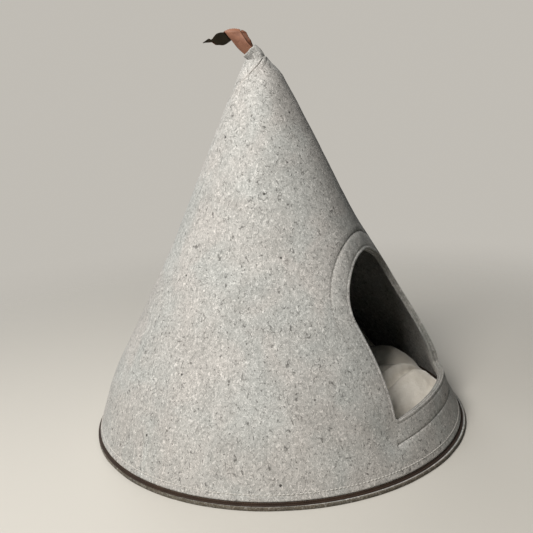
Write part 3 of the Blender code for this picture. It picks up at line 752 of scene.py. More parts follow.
def make_base(entries):
    """The felt base: a disc with a softened, slightly wavy cut edge."""
    rim = [(BASE_RADIUS - inset, height) for inset, height in BASE_RIM]
    inwards = [(radius, BASE_THICKNESS) for radius in BASE_TOP_RADII]
    profile = [(0.0, 0.0), (100.0, 0.0)] + rim + inwards
    rim_points = range(2, 2 + len(rim))
    azimuths = circle(RING_STEPS)
    swing = sum(height * np.sin(count * azimuths + start) for height, count, start in BASE_WAVES)
    # The rim's side faces take the darker edge felt, which is partly painted shade.
    kinds = [int(index in rim_points[:-1]) for index in range(len(profile))]
    disc = turned(
        "felt_base", profile, entries, inset=np.maximum(-swing, 0.0), moved=rim_points, kinds=kinds
    )
    shape = bmesh.new()
    shape.from_mesh(disc.data)
    bmesh.ops.remove_doubles(shape, verts=shape.verts, dist=0.001 * MM)
    shape.to_mesh(disc.data)
    shape.free()
    return disc


def make_tapes(entry):
    """The zip's two tapes: one flat on the base, one up the inside of the cone."""
    height, radius, lean, outward, upward = (float(value) for value in section_at(0.0))
    low = BASE_THICKNESS + GAP
    lip = radius + ZIP_LIP
    inner_end = radius - ZIP_COIL_INSET - ZIP_TAPE_REACH
    lower = [
        (inner_end, low), (lip - 0.2, low), (lip, low + 0.25), (lip - 0.15, low + 0.6),
        (lip - 0.6, low + 0.75), (inner_end, low + ZIP_TAPE),
    ]
    inner_face = radius - (FELT + GAP) * upward
    inner_low = height + (FELT + GAP) * outward - GAP
    top_radius = inner_face + ZIP_TAPE_HEIGHT * outward - 2.0 * GAP
    top_height = inner_low + GAP + ZIP_TAPE_HEIGHT * upward
    upper = [
        (inner_face - ZIP_TAPE, inner_low), (inner_face, inner_low),
        (top_radius, top_height), (top_radius - ZIP_TAPE, top_height),
    ]
    azimuths = circle(RING_STEPS)
    past = (azimuths - 2.0 * math.pi * (azimuths > math.pi) - float(seam_azimuth(0.0))) * radius
    past -= 2.0 * math.pi * radius * (past > math.pi * radius)
    rise = smoothstep(-LAP_RAMP - ZIP_EASE, -LAP_RAMP, past)
    fall = 1.0 - smoothstep(LAP_WIDTH + ZIP_LAP_PAST, LAP_WIDTH + ZIP_EASE, past)
    over_the_lap = (FELT + LAP_GAP + ZIP_LAP_CLEARANCE) * np.minimum(rise, fall)
    return (
        turned("zip_tape_lower", lower, [entry], lean),
        turned("zip_tape_upper", upper, [entry], lean, over_the_lap),
    )


def make_coil(entry):
    """The zip's closed coil: a round band with a notch between every two teeth."""
    lean = float(section_at(0.0)[2])
    steps = ZIP_TEETH * len(TOOTH_SHAPE)
    turns = circle(COIL_SIDES)
    swell = COIL_RADIUS * np.tile(TOOTH_SHAPE, ZIP_TEETH)[:, None]
    ring, height = COIL_CENTRE
    out, up = ring + swell * np.cos(turns), height + swell * np.sin(turns)
    points = around(circle(steps)[:, None], out, up) + LEAN_SIDE * lean
    faces = ring_faces(steps, COIL_SIDES, closed_rings=True, flipped=True)
    return mesh_object("zip_coil", points.reshape(-1, 3), faces, [entry])


# ---------------------------------------------------------------- stitches


STITCH_SECTIONS = [
    # place along the stitch, share of the thread's radius
    (-1.0, 0.35),
    (-0.8, 0.85),
    (-0.4, 1.0),
    (0.0, 1.0),
    (0.4, 1.0),
    (0.8, 0.85),
    (1.0, 0.35),
]
STITCH_SIDES = 6
STITCH_RISE = 0.35          # share of its radius that a thread stands out of its groove
STITCH_DIVE = 0.8           # how deep its ends dive into the felt


def stitch_mesh(name, lines, entry, thick=THREAD_RADIUS):
    """One short thread for each stitch of the lines, which are (flat points, depth) pairs."""
    shares, widths = np.array(STITCH_SECTIONS).T
    widths = widths * thick
    turns = circle(STITCH_SIDES)
    rings = ring_faces(len(shares), STITCH_SIDES, flipped=True)
    last = (len(shares) - 1) * STITCH_SIDES
    rings += [tuple(range(STITCH_SIDES)), tuple(range(last, last + STITCH_SIDES))[::-1]]
    points, faces = [], []
    for line, depth in lines:
        middles = 0.5 * (line[1:] + line[:-1])
        steps = line[1:] - line[:-1]
        steps /= np.linalg.norm(steps, axis=1)[:, None]
        for middle, step in zip(middles, steps):
            aside = np.array([step[1], -step[0]])
            along = middle + step * (0.5 * STITCH_LENGTH * shares)[:, None]
            flat = along[:, None, :] + aside * (widths[:, None] * np.cos(turns))[:, :, None]
            sunk = depth - STITCH_RISE * thick + STITCH_DIVE * shares ** 4
            depths = sunk[:, None] - widths[:, None] * np.sin(turns)
            azimuth, slant = from_flat(flat.reshape(-1, 2))
            depths = depths.reshape(-1) + lap_depth(azimuth, slant)
            first = len(points)
            points.extend(surface(azimuth, slant, depths).tolist())
            faces.extend(tuple(first + corner for corner in face) for face in rings)
    return mesh_object(name, points, faces, [entry])


def make_stitches(entry):
    """The stitch lines of the entrance and the lap."""
    slants = np.arange(6.0, SLANT_LENGTH - 6.0, STITCH_PITCH)
    radius = section_at(slants)[1]
    closed_edge = np.vstack([EDGE_LINE, EDGE_LINE[:1]])
    lines = [(closed_edge, EDGE_GROOVE), (SILL_LINE, FACING_GROOVE)]
    for stitch in zip(ARCH_LINE[:-1], ARCH_LINE[1:]):
        stitch = np.array(stitch)
        lines.append((stitch, arch_depth(stitch).mean()))
    for offset in SEAM_STITCHES:
        lines.append((to_flat(seam_azimuth(slants) + offset / radius, slants), SEAM_GROOVE))
    return stitch_mesh("seam_stitches", lines, entry)


def make_hem_stitches(entry):
    """The line that holds the zip to the cone."""
    start = float(seam_azimuth(HEM_STITCH))
    count = round(2.0 * math.pi * BASE_RADIUS / STITCH_PITCH)
    hem = to_flat(np.linspace(start, start + 2.0 * math.pi, count), HEM_STITCH)
    return stitch_mesh("hem_stitches", [(hem, HEM_GROOVE)], entry, HEM_THREAD_RADIUS)


# ---------------------------------------------------------------- cushion

CUSHION_RIM = [
    # azimuth in degrees, reach, height
    (-175.0, 151.0, 52.0),
    (-155.0, 160.0, 66.0),
    (-134.0, 151.0, 50.0),
    (-112.0, 161.0, 64.0),
    (-92.0, 151.0, 48.0),
    (-70.0, 160.0, 58.0),
    (-50.0, 149.0, 42.0),
    (-32.0, 154.0, 45.0),
    (-8.0, 146.0, 36.0),
    (20.0, 176.0, 57.0),
    (33.0, 167.0, 46.0),
    (46.0, 168.0, 54.0),
    (60.0, 156.0, 46.0),
    (79.0, 162.0, 74.0),
    (101.0, 152.0, 54.0),
    (122.0, 161.0, 69.0),
    (143.0, 152.0, 54.0),
    (164.0, 160.0, 68.0),
]
CUSHION_MIDDLE_HEIGHT = 43.0
CUSHION_CREST_AT = 0.76     # share of the reach where the rim is highest
CUSHION_FOOT_AT = 0.86      # share of the reach that rests on the base
CUSHION_RISE_AT = 0.28      # share of the reach where the middle starts to rise
CUSHION_RINGS = (0.06, 0.14, 0.24, 0.34, 0.44, 0.54, 0.64, 0.70, CUSHION_CREST_AT)
CUSHION_RIM_STEPS = 14
CUSHION_STEPS = 144
CUSHION_SLACK = 6.0         # the mesh starts this much lower
CUSHION_PULL = 8.0          # and wider, since the filling lifts its top and pulls its rim in
CUSHION_VOXEL = 5.0
CUSHION_SWELL = 6.0         # no point moves further than this
CUSHION_EASE = 1.6          # left between the cushion and the felt for the felt's own swells
CLOTH_FRAMES = 20
CREASE_HEIGHTS = (12.0, 26.0)   # creases get their full depth over these heights
DIP_DEPTH = 6.5             # creases at the dips between the rim's lobes
DIP_WIDTH = 3.2
DIP_SHARES = (0.50, 0.78)   # they grow over these shares of the reach
DIP_BEND = 0.05             # and bend to each side by this much
PUCKER_COUNT = 46.0         # small puckers run in from the edge
PUCKER_DEPTH = 1.1
PUCKER_SHARES = (0.62, 0.84)
PUCKER_BEND = 0.09
CREASE_SIDE_SHARES = (0.70, 0.95)   # over these shares creases come to press inwards too
CREASE_DOWN = 1.1           # how much they press down for each step inwards
CUSHION_LUMPS = [
    # height, wavelength, seed
    (1.7, 24.0, 3.0),
    (0.8, 9.0, 5.0),
]
CUSHION_FOLDS = [
    # start, end (x, y), depth
    ((80.0, -150.0), (-4.0, -112.0), 10.0),
    ((86.0, -128.0), (8.0, -94.0), 8.0),
    ((8.0, -134.0), (-50.0, -150.0), 8.0),
]
FOLD_WIDTH = 5.0
FOLD_FADE = 0.3             # share of a fold's length over which each end fades


def rim_at(azimuths):
    """Reach and height of the cushion's rim at each azimuth."""
    rows = np.array(CUSHION_RIM + [(CUSHION_RIM[0][0] + 360.0, *CUSHION_RIM[0][1:])])
    degrees = np.degrees(azimuths)
    degrees = np.where(degrees < rows[0, 0], degrees + 360.0, degrees)
    index = np.clip(np.searchsorted(rows[:, 0], degrees) - 1, 0, len(rows) - 2)
    start, end = rows[index], rows[index + 1]
    share = smoothstep(0.0, 1.0, (degrees - start[:, 0]) / (end[:, 0] - start[:, 0]))
    _, reach, height = (start + (end - start) * share[:, None]).T
    return reach, height


def cushion_shape():
    """The cushion's closed shape: a low middle, a puffy lobed rim and a flat underside."""
    foot = BASE_THICKNESS + GAP
    bottom = CUSHION_MIDDLE_HEIGHT - CUSHION_SLACK
    azimuths = circle(CUSHION_STEPS) - math.pi
    reach, crest = rim_at(azimuths)
    reach, crest = reach + CUSHION_PULL, crest - CUSHION_SLACK
    rings = []
    for share in CUSHION_RINGS:
        rise = float(smoothstep(CUSHION_RISE_AT, CUSHION_CREST_AT, share))
        rings.append((share * reach, bottom + (crest - bottom) * rise))
    for turn in np.linspace(0.0, math.pi, CUSHION_RIM_STEPS + 1)[1:]:
        inner = CUSHION_CREST_AT if turn < 0.5 * math.pi else CUSHION_FOOT_AT
        share = inner + (1.0 - inner) * math.sin(turn)
        middle = 0.5 * (crest + foot)
        rings.append((share * reach, middle + (crest - middle) * math.cos(turn)))
    points = [(0.0, 0.0, bottom)]
    for out, height in rings:
        points.extend(around(azimuths, out, height))
    faces = [(0, 1 + step, 1 + (step + 1) % CUSHION_STEPS) for step in range(CUSHION_STEPS)]
    for face in ring_faces(len(rings), CUSHION_STEPS):
        low, low_after, high_after, high = (1 + corner for corner in face)
        faces.append((low, high, high_after, low_after))
    last = 1 + (len(rings) - 1) * CUSHION_STEPS
    faces.append(tuple(range(last, last + CUSHION_STEPS))[::-1])
    return points, faces


def vertex_array(mesh):
    """All vertices of a mesh, in millimetres."""
    flat = np.empty(3 * len(mesh.vertices), np.float32)
    mesh.vertices.foreach_get("co", flat)
    return flat.reshape(-1, 3).astype(float) / MM


def set_vertices(mesh, points):
    """Moves all vertices of a mesh to points in millimetres."""
    mesh.vertices.foreach_set("co", (points * MM).astype(np.float32).ravel())
    mesh.update()


def apply_modifiers(made):
    """Puts what the modifiers make into the object's own mesh."""
    depsgraph = bpy.context.evaluated_depsgraph_get()
    mesh = bpy.data.meshes.new_from_object(made.evaluated_get(depsgraph))
    made.modifiers.clear()
    made.data = mesh


def swell(made):
    """Fills the cushion by cloth pressure, each point held within CUSHION_SWELL."""
    start = vertex_array(made.data)
    cloth = made.modifiers.new("cloth", "CLOTH")
    cloth.settings.quality = 5
    cloth.settings.use_pressure = True
    cloth.settings.uniform_pressure_force = 4.0
    cloth.settings.effector_weights.gravity = 0.0
    cloth.settings.tension_stiffness = 12.0
    cloth.settings.bending_stiffness = 0.4
    scene = bpy.context.scene
    for frame in range(1, CLOTH_FRAMES + 1):
        scene.frame_set(frame)
    apply_modifiers(made)
    moved = vertex_array(made.data) - start
    length = np.linalg.norm(moved, axis=1)
    moved *= (np.minimum(length, CUSHION_SWELL) / np.maximum(length, 1e-6))[:, None]
    scene.frame_set(1)
    set_vertices(made.data, start + moved)


def settle(points):
    """Keeps the cushion on the base and inside the cone."""
    azimuth, out = polar(points)
    height = np.maximum(points[:, 2], BASE_THICKNESS + GAP)
    _, radius, _, _, upward = section_at(np.interp(height, PROFILE[:, 0], SLANTS))
    room = radius - 2.0 * (FELT + GAP) / upward - CUSHION_EASE
    return around(azimuth, np.minimum(out, room), height)


def crease(points):
    """Folds at the dips between the rim's lobes, puckers, lumps and the listed folds."""
    azimuth, out = polar(points)
    share = out / rim_at(azimuth)[0]
    press = np.zeros(len(points))
    for row in CUSHION_RIM[::2]:
        bent = math.radians(row[0]) + DIP_BEND * np.sin(share * 9.0 + row[0])
        across = (azimuth - bent + math.pi) % (2.0 * math.pi) - math.pi
        dip = np.exp(-(np.abs(across * out) / DIP_WIDTH) ** 1.4)
        press += DIP_DEPTH * dip * smoothstep(*DIP_SHARES, share)
    wander = PUCKER_BEND * np.sin(7.0 * azimuth + 4.0 * share)
    puckers = np.sin(PUCKER_COUNT * (azimuth + wander))
    puckers *= noise_at(points * (1.0, 1.0, 0.4), 30.0, 7.0)
    press += PUCKER_DEPTH * puckers * smoothstep(*PUCKER_SHARES, share)
    press += lumps_at(points, CUSHION_LUMPS)
    for start, end, depth in CUSHION_FOLDS:
        away, along = distance_along(np.array([start, end]), points[:, :2])
        length = math.dist(start, end)
        fade = smoothstep(0.0, FOLD_FADE * length, np.stack([along, length - along])).prod(axis=0)
        press += depth * fade * np.exp(-(away / FOLD_WIDTH) ** 2)
    press *= smoothstep(*CREASE_HEIGHTS, points[:, 2])
    inwards = around(azimuth, -smoothstep(*CREASE_SIDE_SHARES, share), -CREASE_DOWN)
    inwards /= np.linalg.norm(inwards, axis=1)[:, None]
    return points + inwards * press[:, None]


def make_cushion(entry):
    """The filled plush cushion."""
    made = mesh_object("plush_cushion", *cushion_shape(), [entry])
    remesh = made.modifiers.new("remesh", "REMESH")
    remesh.mode = "VOXEL"
    remesh.voxel_size = CUSHION_VOXEL * MM
    apply_modifiers(made)
    swell(made)
    subdivide = made.modifiers.new("subdivide", "SUBSURF")
    subdivide.levels = subdivide.render_levels = 1
    apply_modifiers(made)
    set_vertices(made.data, settle(crease(vertex_array(made.data))))
    made.data.materials.clear()
    made.data.materials.append(entry)
    made.data.shade_smooth()
    return made


# ---------------------------------------------------------------- collar and strips

STRAP_FREE_EDGES = [
    # right edge: left, up, front; left edge: left, up, front
    (15.2, 397.6, 4.6, 25.2, 392.6, -2.0),
    (17.8, 402.2, 3.0, 31.5, 401.2, -1.0),
    (20.2, 406.2, 1.5, 35.0, 405.8, -1.0),
    (21.3, 408.8, 0.4, 36.9, 408.7, -1.5),
    (21.6, 410.5, -3.4, 37.6, 409.7, -4.8),
    (22.2, 408.6, -7.6, 39.0, 408.9, -8.6),
    (25.7, 404.5, -8.8, 42.0, 408.6, -8.2),
    (32.0, 400.0, -8.4, 45.6, 407.4, -6.8),
    (38.2, 396.4, -6.0, 48.4, 404.8, -4.8),
    (43.5, 396.5, -3.8, 50.5, 402.2, -3.2),
    (47.0, 396.9, -2.6, 52.7, 401.8, -2.2),
    (49.2, 399.2, -1.8, 54.9, 401.7, -1.5),
    (54.1, 399.4, -1.0, 56.9, 400.9, -0.8),
    (58.6, 399.5, -0.6, 59.2, 399.8, -0.4),
]
STRAP_WIDTH = 12.0
STRAP_GAP = 0.65
STRAP_THICKNESS = 1.8
STRAP_BACK_ASIDES = (2.6, 3.7, 4.9, 4.6, 1.8)   # how far the back strip is moved aside
# How far the front strip's middle and the back strip's right edge rise at each of their rows,
# those inside the collar first
STRAP_CUP = (0, 0, 0, 0.3, 0.5, 0.6, 0.8, 1.2, 1.7, 1.0, 0.4, 0.2, 0, 0, 0, 0, 0, 0)
STRAP_BACK_CURL = (0, 0, 0, 0, 0.2, 0.5, 1.2, 2.0, 2.2)
COLLAR_SECTIONS = [
    # left, up, tilt from upright in degrees
    (6.0, 368.0, 0.0),
    (6.1, 376.0, 3.0),
    (7.1, 382.4, 16.0),
    (9.9, 386.8, 34.0),
    (13.9, 390.3, 43.0),
]
COLLAR_HALF_WIDTH = 8.4
COLLAR_HALF_DEPTH = 5.0
COLLAR_WALL = 1.8
COLLAR_RIM = (0.5, 0.45)    # rounding of the rim's outer and inner edge
COLLAR_YAW = math.radians(32.0)     # how far the flat tube is turned about its own axis
COLLAR_STEPS = 72
COLLAR_LUMPS = [
    # height, wavelength, seed
    (0.3, 6.0, 12.0),
    (0.15, 2.5, 3.0),
]


def apex_place(point):
    """Place of (left, up, front) of the apex line."""
    left, up, front = point
    flat = LEAN_SIDE * left + LEAN_FRONT * front
    return np.array([flat[0], flat[1], up])


def squared(value):
    """A sine or cosine, bent so that the round section becomes a flattened one."""
    return np.sign(value) * np.sqrt(np.abs(value))


def collar_frame(left, up, tilt):
    """Middle, wide direction and deep direction of a collar section, as left, up, front."""
    lean = math.radians(tilt)
    middle = np.array([left, up, 0.0])
    in_plane = np.array([-math.cos(lean), math.sin(lean), 0.0])
    front = np.array([0.0, 0.0, 1.0])
    wide = in_plane * math.cos(COLLAR_YAW) + front * math.sin(COLLAR_YAW)
    deep = front * math.cos(COLLAR_YAW) - in_plane * math.sin(COLLAR_YAW)
    return middle, wide, deep


def make_collar(entry):
    """Flattened felt tube round the strips, its rim rounded over the wall."""
    sections = refine_rows(COLLAR_SECTIONS, 6)
    turns = circle(COLLAR_STEPS)
    rings = []

    def add_ring(section, wall):
        middle, wide, deep = collar_frame(*section)
        across = (COLLAR_HALF_WIDTH - wall) * squared(np.cos(turns))
        through = (COLLAR_HALF_DEPTH - wall) * squared(np.sin(turns))
        rings.append([apex_place(middle + wide * a + deep * t) for a, t in zip(across, through)])

    for section in sections[:-2]:
        add_ring(section, 0.0)
    add_ring(sections[-2], 0.08)
    add_ring(sections[-1], COLLAR_RIM[0])
    add_ring(sections[-1], COLLAR_WALL - COLLAR_RIM[1])
    for section in sections[-2::-1]:
        add_ring(section, COLLAR_WALL)
    points = np.array(rings).reshape(-1, 3)
    points += lumps_at(points, COLLAR_LUMPS)[:, None]
    faces = ring_faces(len(rings), COLLAR_STEPS, closed_rings=True, flipped=True)
    return mesh_object("felt_collar", points, faces, [entry])


def strap_edges():
    """Edge pairs of the front strip, from inside the collar to its free end."""
    rows = []
    for section in COLLAR_SECTIONS[1:]:
        middle, wide, deep = collar_frame(*section)
        face = middle + deep * (STRAP_THICKNESS + 0.5 * STRAP_GAP)
        rows.append((*(face + wide * 0.5 * STRAP_WIDTH), *(face - wide * 0.5 * STRAP_WIDTH)))
    return rows + STRAP_FREE_EDGES


def back_strap_edges():
    """Edge pairs of the back strip, which moves aside once it is out of the collar."""
    inside_rows = len(COLLAR_SECTIONS) - 1
    asides = [0.0] * inside_rows + list(STRAP_BACK_ASIDES)
    rows = []
    for row, distance in zip(strap_edges(), asides):
        right, left = np.array(row[:3]), np.array(row[3:])
        aside = (right - left) / np.linalg.norm(right - left) * distance
        rows.append((*(right + aside), *(left + aside)))
    return rows


# A strip's section from its left edge round: share across, and depth as a share of its thickness
STRIP_SECTION = [
    (-0.98, 0.05), (-0.93, 0.0), (-0.75, 0.0), (-0.55, 0.0), (-0.35, 0.0), (-0.12, 0.0),
    (0.12, 0.0), (0.35, 0.0), (0.55, 0.0), (0.75, 0.0), (0.93, 0.0), (0.98, 0.05),
    (1.0, 0.25), (1.0, 0.75), (0.98, 0.95),
    (0.93, 1.0), (0.75, 1.0), (0.55, 1.0), (0.35, 1.0), (0.12, 1.0),
    (-0.12, 1.0), (-0.35, 1.0), (-0.55, 1.0), (-0.75, 1.0), (-0.93, 1.0),
    (-0.98, 0.95), (-1.0, 0.75), (-1.0, 0.25),
]
STRIP_BACK_FACES = slice(14, 25)
STRIP_EDGE_FACES = [11, 12, 13, 25, 26, 27]


def make_strip(name, rows, bends, set_back, entries):
    """A leather strip along a table of edge pairs, grain side in front and flesh side behind.

    For each row, bends has the rise of the strip's middle and that of its right edge.
    """
    fine = refine_rows(rows, 10)
    bend = refine_rows(bends, 10)
    right = np.array([apex_place(row[:3]) for row in fine])
    left = np.array([apex_place(row[3:]) for row in fine])
    along = np.gradient(right + left, axis=0)
    face = np.cross(right - left, along)
    face /= np.linalg.norm(face, axis=1)[:, None]
    middle, half = 0.5 * (right + left), 0.5 * (right - left)
    rings = []
    for share, depth in STRIP_SECTION:
        rise = bend @ (1.0 - share ** 2, max(share, 0.0) ** 4)
        back = set_back + depth * STRAP_THICKNESS - rise
        rings.append(middle + half * share - face * back[:, None])
    points = np.stack(rings, axis=1)
    count = len(STRIP_SECTION)
    faces = ring_faces(len(fine), count)
    kinds = np.zeros(count, int)
    kinds[STRIP_BACK_FACES] = 1
    kinds[STRIP_EDGE_FACES] = 2
    kinds = kinds.tolist() * (len(fine) - 1)
    last = (len(fine) - 1) * count
    faces += [tuple(reversed(range(count))), tuple(last + step for step in range(count))]
    kinds += [2, 2]
    return mesh_object(name, points.reshape(-1, 3), faces, entries, kinds)


# ---------------------------------------------------------------- materials


class Nodes:
    """Short calls that add nodes to a node tree and join them."""

    def __init__(self, tree):
        self.tree = tree

    def set(self, socket, value):
        """Links a socket to a socket, or gives it a value. A colour may be three numbers."""
        if isinstance(value, bpy.types.NodeSocket):
            self.tree.links.new(value, socket)
        elif socket.type == "RGBA":
            socket.default_value = (*value, 1.0)
        else:
            socket.default_value = value

    def add(self, kind, inputs, **settings):
        """A node with its settings, and values or links on its inputs."""
        node = self.tree.nodes.new("ShaderNode" + kind)
        for name, value in settings.items():
            setattr(node, name, value)
        for name, value in inputs.items():
            self.set(node.inputs[name], value)
        return node

    def math(self, operation, first, second=0.0):
        """Result of an operation on two values, each a number or a socket."""
        return self.add("Math", {0: first, 1: second}, operation=operation).outputs[0]

    def total(self, *parts):
        """Sum of values, each times its share."""
        terms = [self.math("MULTIPLY", value, share) for share, value in parts]
        return functools.reduce(lambda first, second: self.math("ADD", first, second), terms)

    def shifted(self, offset, stretch=(1.0, 1.0, 1.0)):
        """The place on the object in millimetres, stretched and moved by an offset."""
        inputs = {"Vector": self.place, "Location": offset, "Scale": stretch}
        return self.add("Mapping", inputs).outputs[0]

    def noise(
        self, size, detail=2.0, offset=(0.0, 0.0, 0.0), distortion=0.0, rough=0.5, place=None
    ):
        """Noise with features about size millimetres wide."""
        inputs = {
            "Vector": place or self.shifted(offset),
            "Scale": 1.0 / size,
            "Detail": detail,
            "Roughness": rough,
            "Distortion": distortion,
        }
        return self.add("TexNoise", inputs).outputs["Fac"]

    def ramp(self, value, low, high, to_low=0.0, to_high=1.0):
        """An S-shaped rise or fall from to_low to to_high while a value goes from low to high."""
        inputs = {
            "Value": value,
            "From Min": low,
            "From Max": high,
            "To Min": to_low,
            "To Max": to_high,
        }
        return self.add("MapRange", inputs, interpolation_type="SMOOTHSTEP").outputs["Result"]

    def fibres(self, size, width, offset, share):
        """Thin wavy lines, a size apart, broken up so that only a share of them shows."""
        waves = self.noise(size, 0.0, distortion=1.3, place=self.shifted(offset, FIBRE_STRETCH))
        from_middle = self.math("ABSOLUTE", self.math("SUBTRACT", waves, 0.5))
        line = self.ramp(from_middle, 0.15 * width, width, 1.0, 0.0)
        gaps = self.noise(0.75 * size, 1.0, tuple(37.0 + value for value in offset))
        return self.math("MULTIPLY", line, self.ramp(gaps, 0.53 - 0.3 * share, 0.62 - 0.3 * share))

    def specks(self, size, radius, offset, share):
        """Small specks, a size apart, in a share of the cells."""
        wobble = self.add("TexNoise", {"Vector": self.place, "Scale": 0.8})
        bent = self.add(
            "VectorMath", {0: self.shifted(offset), 1: wobble.outputs["Color"]}, operation="ADD"
        )
        cells = self.add("TexVoronoi", {"Vector": bent.outputs[0], "Scale": 1.0 / size})
        dot = self.ramp(cells.outputs["Distance"], 0.5 * radius / size, radius / size, 1.0, 0.0)
        parts = self.add("SeparateColor", {0: cells.outputs["Color"]})
        shown = self.math("GREATER_THAN", parts.outputs[0], 1.0 - share)
        return self.math("MULTIPLY", dot, shown)

    def mix(self, share, first, second, blend="MIX"):
        """The first colour, with a share of the second one."""
        inputs = {"Factor": share, 6: first, 7: second}
        return self.add("Mix", inputs, data_type="RGBA", blend_type=blend).outputs[2]

    def finish(self, shader, colour, height=None, strength=0.5, distance=0.3):
        """Gives the shader its colour, and bumps if a height is given."""
        self.set(shader.inputs["Base Color"], colour)
        if height is not None:
            inputs = {"Height": height, "Strength": strength, "Distance": distance * MM}
            self.set(shader.inputs["Normal"], self.add("Bump", inputs).outputs[0])


def new_material(name, roughness, sheen=0.0, sheen_roughness=0.5):
    """A Principled material, its shader and the calls that add nodes to it."""
    made = bpy.data.materials.new(name)
    made.use_nodes = True
    shader = made.node_tree.nodes["Principled BSDF"]
    shader.inputs["Roughness"].default_value = roughness
    shader.inputs["Specular IOR Level"].default_value = 0.2
    shader.inputs["Sheen Weight"].default_value = sheen
    shader.inputs["Sheen Roughness"].default_value = sheen_roughness
    nodes = Nodes(made.node_tree)
    where = nodes.add("TexCoord", {}).outputs["Object"]
    scaled = nodes.add("VectorMath", {0: where, "Scale": 1.0 / MM}, operation="SCALE")
    nodes.place = scaled.outputs[0]
    return made, shader, nodes


FELTS = {
    # light, dark, share of the fibres' strength
    "felt": ((0.60, 0.59, 0.565), (0.305, 0.302, 0.288), 1.0),
    # The cut edges get the same felt painted about half as dark: painted shade in the edges.
    "felt_cut_painted_shade": ((0.33, 0.325, 0.30), (0.15, 0.148, 0.138), 0.5),
    # The base's side: darker as compressed cut felt, and partly painted shade from the shell's lip
    # over it.
    "felt_base_edge_dark_and_shaded": ((0.19, 0.165, 0.125), (0.055, 0.046, 0.034), 0.3),
}
THREADS = {
    # light, dark
    "thread_grey": ((0.34, 0.33, 0.31), (0.20, 0.195, 0.18)),
    # The hem's copy of the same thread is painted paler: painted light on the hem line.
    "thread_painted_paler": ((0.70, 0.68, 0.64), (0.50, 0.48, 0.45)),
}
TAPES = {
    # light, dark
    "zip_tape": ((0.048, 0.027, 0.016), (0.020, 0.011, 0.007)),
    "zip_coil": ((0.070, 0.043, 0.027), (0.030, 0.017, 0.011)),
}
LEATHERS = {
    # light, dark, roughness, size of the grain
    "leather_grain": ((0.34, 0.165, 0.105), (0.20, 0.090, 0.060), 0.55, 0.9),
    "leather_flesh": ((0.018, 0.013, 0.006), (0.008, 0.006, 0.003), 0.9, 0.6),
    "leather_back": ((0.17, 0.070, 0.040), (0.09, 0.038, 0.022), 0.6, 0.9),
    "leather_edge": ((0.11, 0.045, 0.026), (0.055, 0.024, 0.014), 0.8, 0.5),
}
PLUSH_COLOURS = ((0.72, 0.665, 0.58), (0.93, 0.885, 0.81))
FIBRE_STRETCH = (1.2, 1.2, 0.55)        # the fibres lie more up the cone than round it
FIBRE_RISE = 0.35                       # how far the pale ones stand out in the bumps
PALE_FIBRE = (0.86, 0.84, 0.805)
GREY_FIBRE = (0.16, 0.158, 0.147)
FELT_FIBRES = [
    # spacing, width, offset, share, strength, colour
    (4.2, 0.045, (3.0, 40.0, 11.0), 0.25, 0.62, PALE_FIBRE),
    (3.4, 0.050, (71.0, 5.0, 23.0), 0.25, 0.58, PALE_FIBRE),
    (5.4, 0.030, (17.0, 88.0, 2.0), 0.30, 0.62, PALE_FIBRE),
    (4.6, 0.045, (31.0, 14.0, 77.0), 0.12, 0.50, GREY_FIBRE),
    (3.6, 0.045, (9.0, 66.0, 45.0), 0.10, 0.50, GREY_FIBRE),
    (5.6, 0.032, (54.0, 62.0, 36.0), 0.10, 0.74, (0.08, 0.078, 0.072)),
    (9.0, 0.030, (9.0, 66.0, 145.0), 0.05, 0.72, (0.09, 0.088, 0.081)),
]
FELT_TINTS = ((1.02, 0.992, 0.985), (0.972, 0.992, 0.998))     # warm and cool patches
SPECK_COLOUR = (0.06, 0.055, 0.05)
BIG_SPECK_COLOUR = (0.03, 0.027, 0.025)


def felt_material(name):
    """Mottled pressed felt with pale and dark fibres and a few black specks."""
    light, dark, fibre_share = FELTS[name]
    made, shader, nodes = new_material(name, 0.95, 0.08)
    clouds = nodes.ramp(nodes.noise(34.0, 3.0, (5.0, 0.0, 9.0), 0.4), 0.34, 0.68)
    tufts = nodes.ramp(nodes.noise(6.5, 3.0, (90.0, 20.0, 3.0), 1.2, 0.6), 0.30, 0.70)
    fuzz = nodes.ramp(nodes.noise(1.7, 3.0, (7.0, 70.0, 0.0), 1.0, 0.7), 0.30, 0.70)
    tone = nodes.total((0.20, clouds), (0.35, tufts), (0.45, fuzz))
    colour = nodes.mix(tone, dark, light)
    height = nodes.total((0.5, tufts), (0.4, fuzz))
    for size, width, offset, share, strength, shade in FELT_FIBRES:
        fibre = nodes.fibres(size, width, offset, share)
        colour = nodes.mix(nodes.math("MULTIPLY", fibre, strength * fibre_share), colour, shade)
        if shade == PALE_FIBRE:
            height = nodes.math("ADD", height, nodes.math("MULTIPLY", fibre, FIBRE_RISE))
    patches = nodes.ramp(nodes.noise(55.0, 2.0, (21.0, 4.0, 60.0), 0.8), 0.30, 0.70)
    colour = nodes.mix(1.0, colour, nodes.mix(patches, *FELT_TINTS), "MULTIPLY")
    groups = nodes.ramp(nodes.noise(26.0, 1.0, (2.0, 77.0, 5.0)), 0.48, 0.60)
    specks = nodes.math("MULTIPLY", nodes.specks(6.0, 1.0, (3.0, 8.0, 1.0), 0.40), groups)
    colour = nodes.mix(nodes.math("MULTIPLY", specks, 0.75), colour, SPECK_COLOUR)
    big_specks = nodes.specks(22.0, 1.7, (13.0, 1.0, 61.0), 0.50)
    colour = nodes.mix(nodes.math("MULTIPLY", big_specks, 0.9), colour, BIG_SPECK_COLOUR)
    nodes.finish(shader, colour, height, 0.5, 0.5)
    return made


def thread_material(name):
    """Sewing thread, twisted from paler and darker plies."""
    light, dark = THREADS[name]
    made, shader, nodes = new_material(name, 0.7, 0.2)
    nodes.finish(shader, nodes.mix(nodes.noise(0.6, 2.0), dark, light))
    return made


